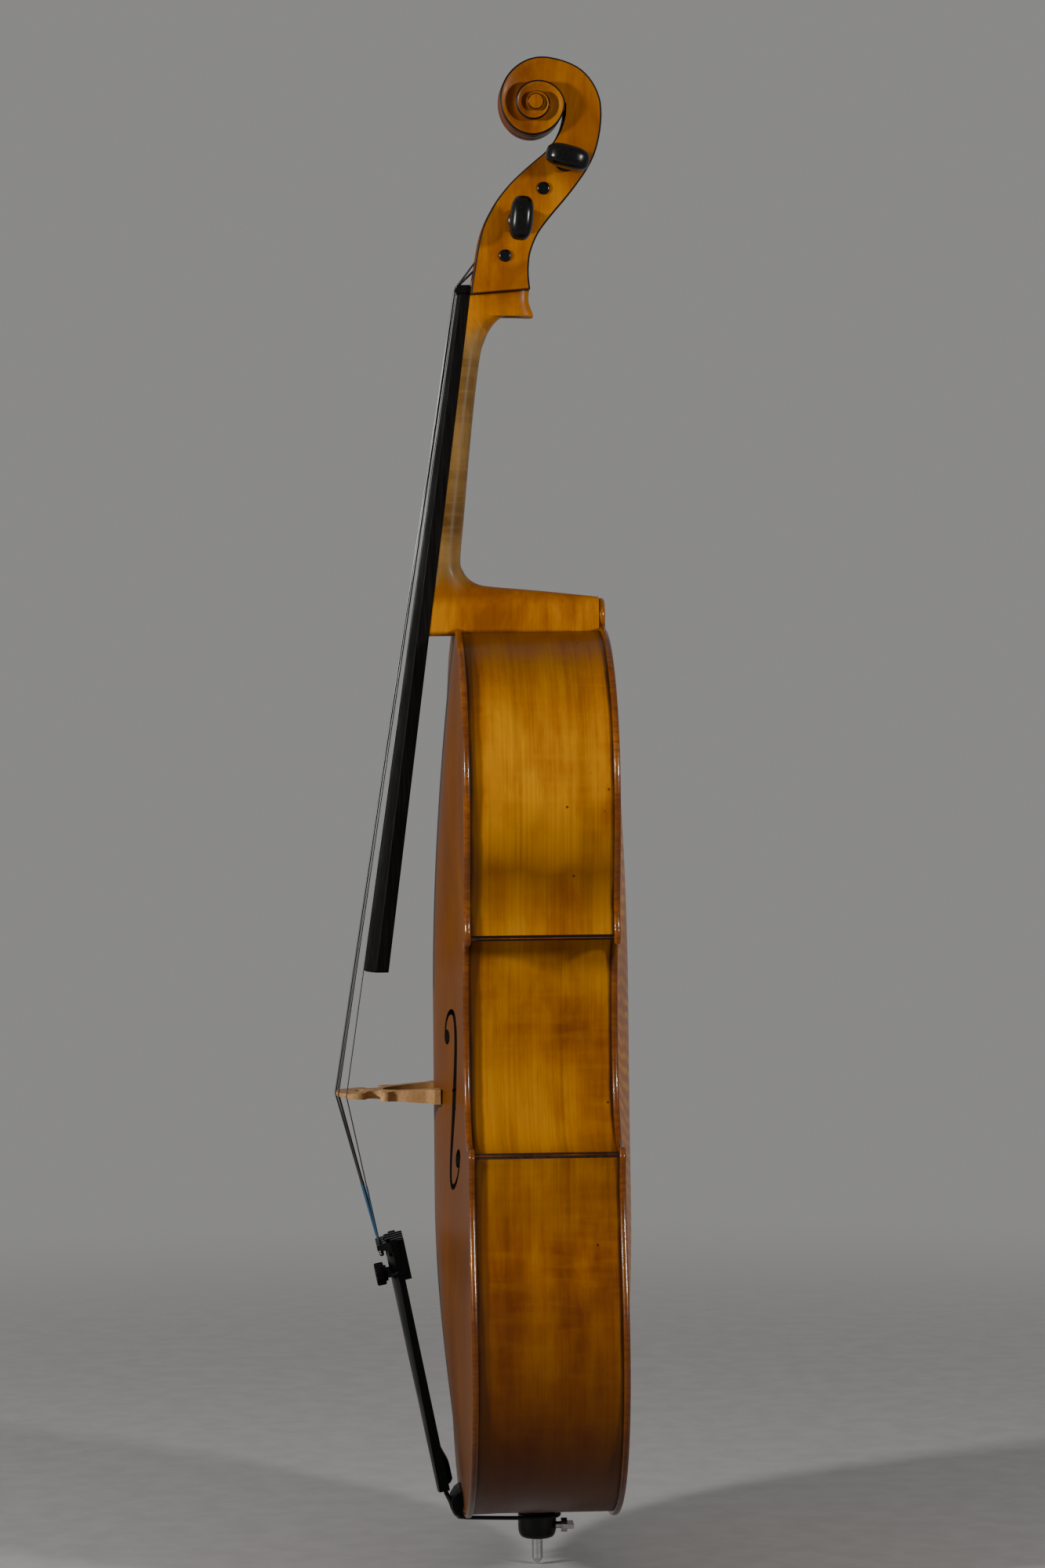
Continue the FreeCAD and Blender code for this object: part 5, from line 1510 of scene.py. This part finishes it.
# ------------------------------------------------------------------ carried-over CAD parts
def finish_cad_nodes():
    """Materials for the CAD parts that stay visible, and softened edges on some."""
    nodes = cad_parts
    choice = {"tailpiece": "black", "nut": "ebony", "saddle": "ebony", "tuner_axle": "lacquer",
              "endpin_rod": "steel", "clamp_screw": "nickel", "bass_bar": "inside",
              "sound_post": "inside",
              "neck_block": "inside", "end_block": "inside", "corner_blocks": "rim",
              "linings_top": "inside", "linings_back": "inside"}
    for letter in "cgda":
        choice["string_silk_" + letter] = "silk"
        choice["tuner_screw_" + letter] = "lacquer"
        choice["tuner_lever_" + letter] = "lacquer"
    for name, key in choice.items():
        node = nodes[name]
        if not node.data.materials:
            node.data.materials.append(MAT[key])
        for k in range(len(node.material_slots)):
            node.material_slots[k].material = MAT[key]
    for name, width in (("nut", 0.5), ("saddle", 0.7), ("clamp_screw", 0.5), ("tailpiece", 0.6)):
        soften(nodes[name], width, 3, 30)
    for letter in "cgda":
        soften(nodes["tuner_lever_" + letter], 0.3, 2, 30)


# ------------------------------------------------------------------ stage, lights, camera
FLOOR_R = 2.7
FLOOR_DROP = 0.0005
WORLD_COLOUR = (0.262, 0.259, 0.255, 1)


def build_floor():
    """Pale disc that fades out into the background."""
    n = Nodes("pale_floor")
    speck = n.noise((30, 30, 30), 4)
    away = n.add("ShaderNodeVectorMath", {0: n.coords}, operation="LENGTH").outputs[1]
    colour = n.mix(n.band(speck, 0.3, 0.7), (0.30, 0.295, 0.29), (0.33, 0.325, 0.32))
    n.set(Base_Color=colour, Roughness=0.8)
    n.set(Alpha=n.band(away, 0.9, 2.6, 1.0, 0.0))
    n.bump(speck, 0.05, 0.001)
    bm = bmesh.new()
    bmesh.ops.create_circle(bm, cap_ends=True, radius=FLOOR_R, segments=96)
    mesh = mesh_from(bm, "Floor")
    mesh.materials.append(n.mat)
    floor = bpy.data.objects.new("Floor", mesh)
    floor.location = (0, 0, -FLOOR_DROP)
    bpy.context.scene.collection.objects.link(floor)


def build_world():
    world = bpy.data.worlds.new("Studio")
    world.use_nodes = True
    background = world.node_tree.nodes["Background"]
    background.inputs[0].default_value = WORLD_COLOUR
    background.inputs[1].default_value = 1.0
    bpy.context.scene.world = world


LIGHT_TARGET = (0.0, 0.0, 0.75)
LIGHT_SIZE = 0.30


def area_light(name, place, watts, colour):
    data = bpy.data.lights.new(name, "AREA")
    data.shape = "RECTANGLE"
    data.size, data.size_y = LIGHT_SIZE, LIGHT_SIZE
    data.energy = watts
    data.color = colour
    light = bpy.data.objects.new(name, data)
    light.location = place
    aim = Vector(LIGHT_TARGET) - Vector(place)
    light.rotation_mode = "QUATERNION"
    light.rotation_quaternion = aim.to_track_quat("-Z", "Y")
    bpy.context.scene.collection.objects.link(light)


def build_lights():
    area_light("Key_left", (1.25, -2.40, 1.35), 84, (1.0, 0.985, 0.96))
    area_light("Key_right", (1.95, 2.10, 1.35), 58, (1.0, 0.99, 0.97))


def build_camera():
    data = bpy.data.cameras.new("Camera")
    data.lens = CAMERA_LENS
    data.sensor_width = 36.0
    camera = bpy.data.objects.new("Camera", data)
    turn = Euler([math.radians(a) for a in CAMERA_TURN])
    camera.matrix_world = Matrix.LocRotScale(Vector(CAMERA_PLACE), turn, None)
    bpy.context.scene.collection.objects.link(camera)
    bpy.context.scene.camera = camera


build_camera()
build_floor()
build_world()
build_lights()
build_body()
build_neck()
build_pegbox()
build_scroll()
build_fingerboard()
build_bridge()
build_tailpiece()
build_tail_gut()
for peg in PEGS:
    build_peg(*peg)
    build_string(peg[0])
build_endpin()
finish_cad_nodes()
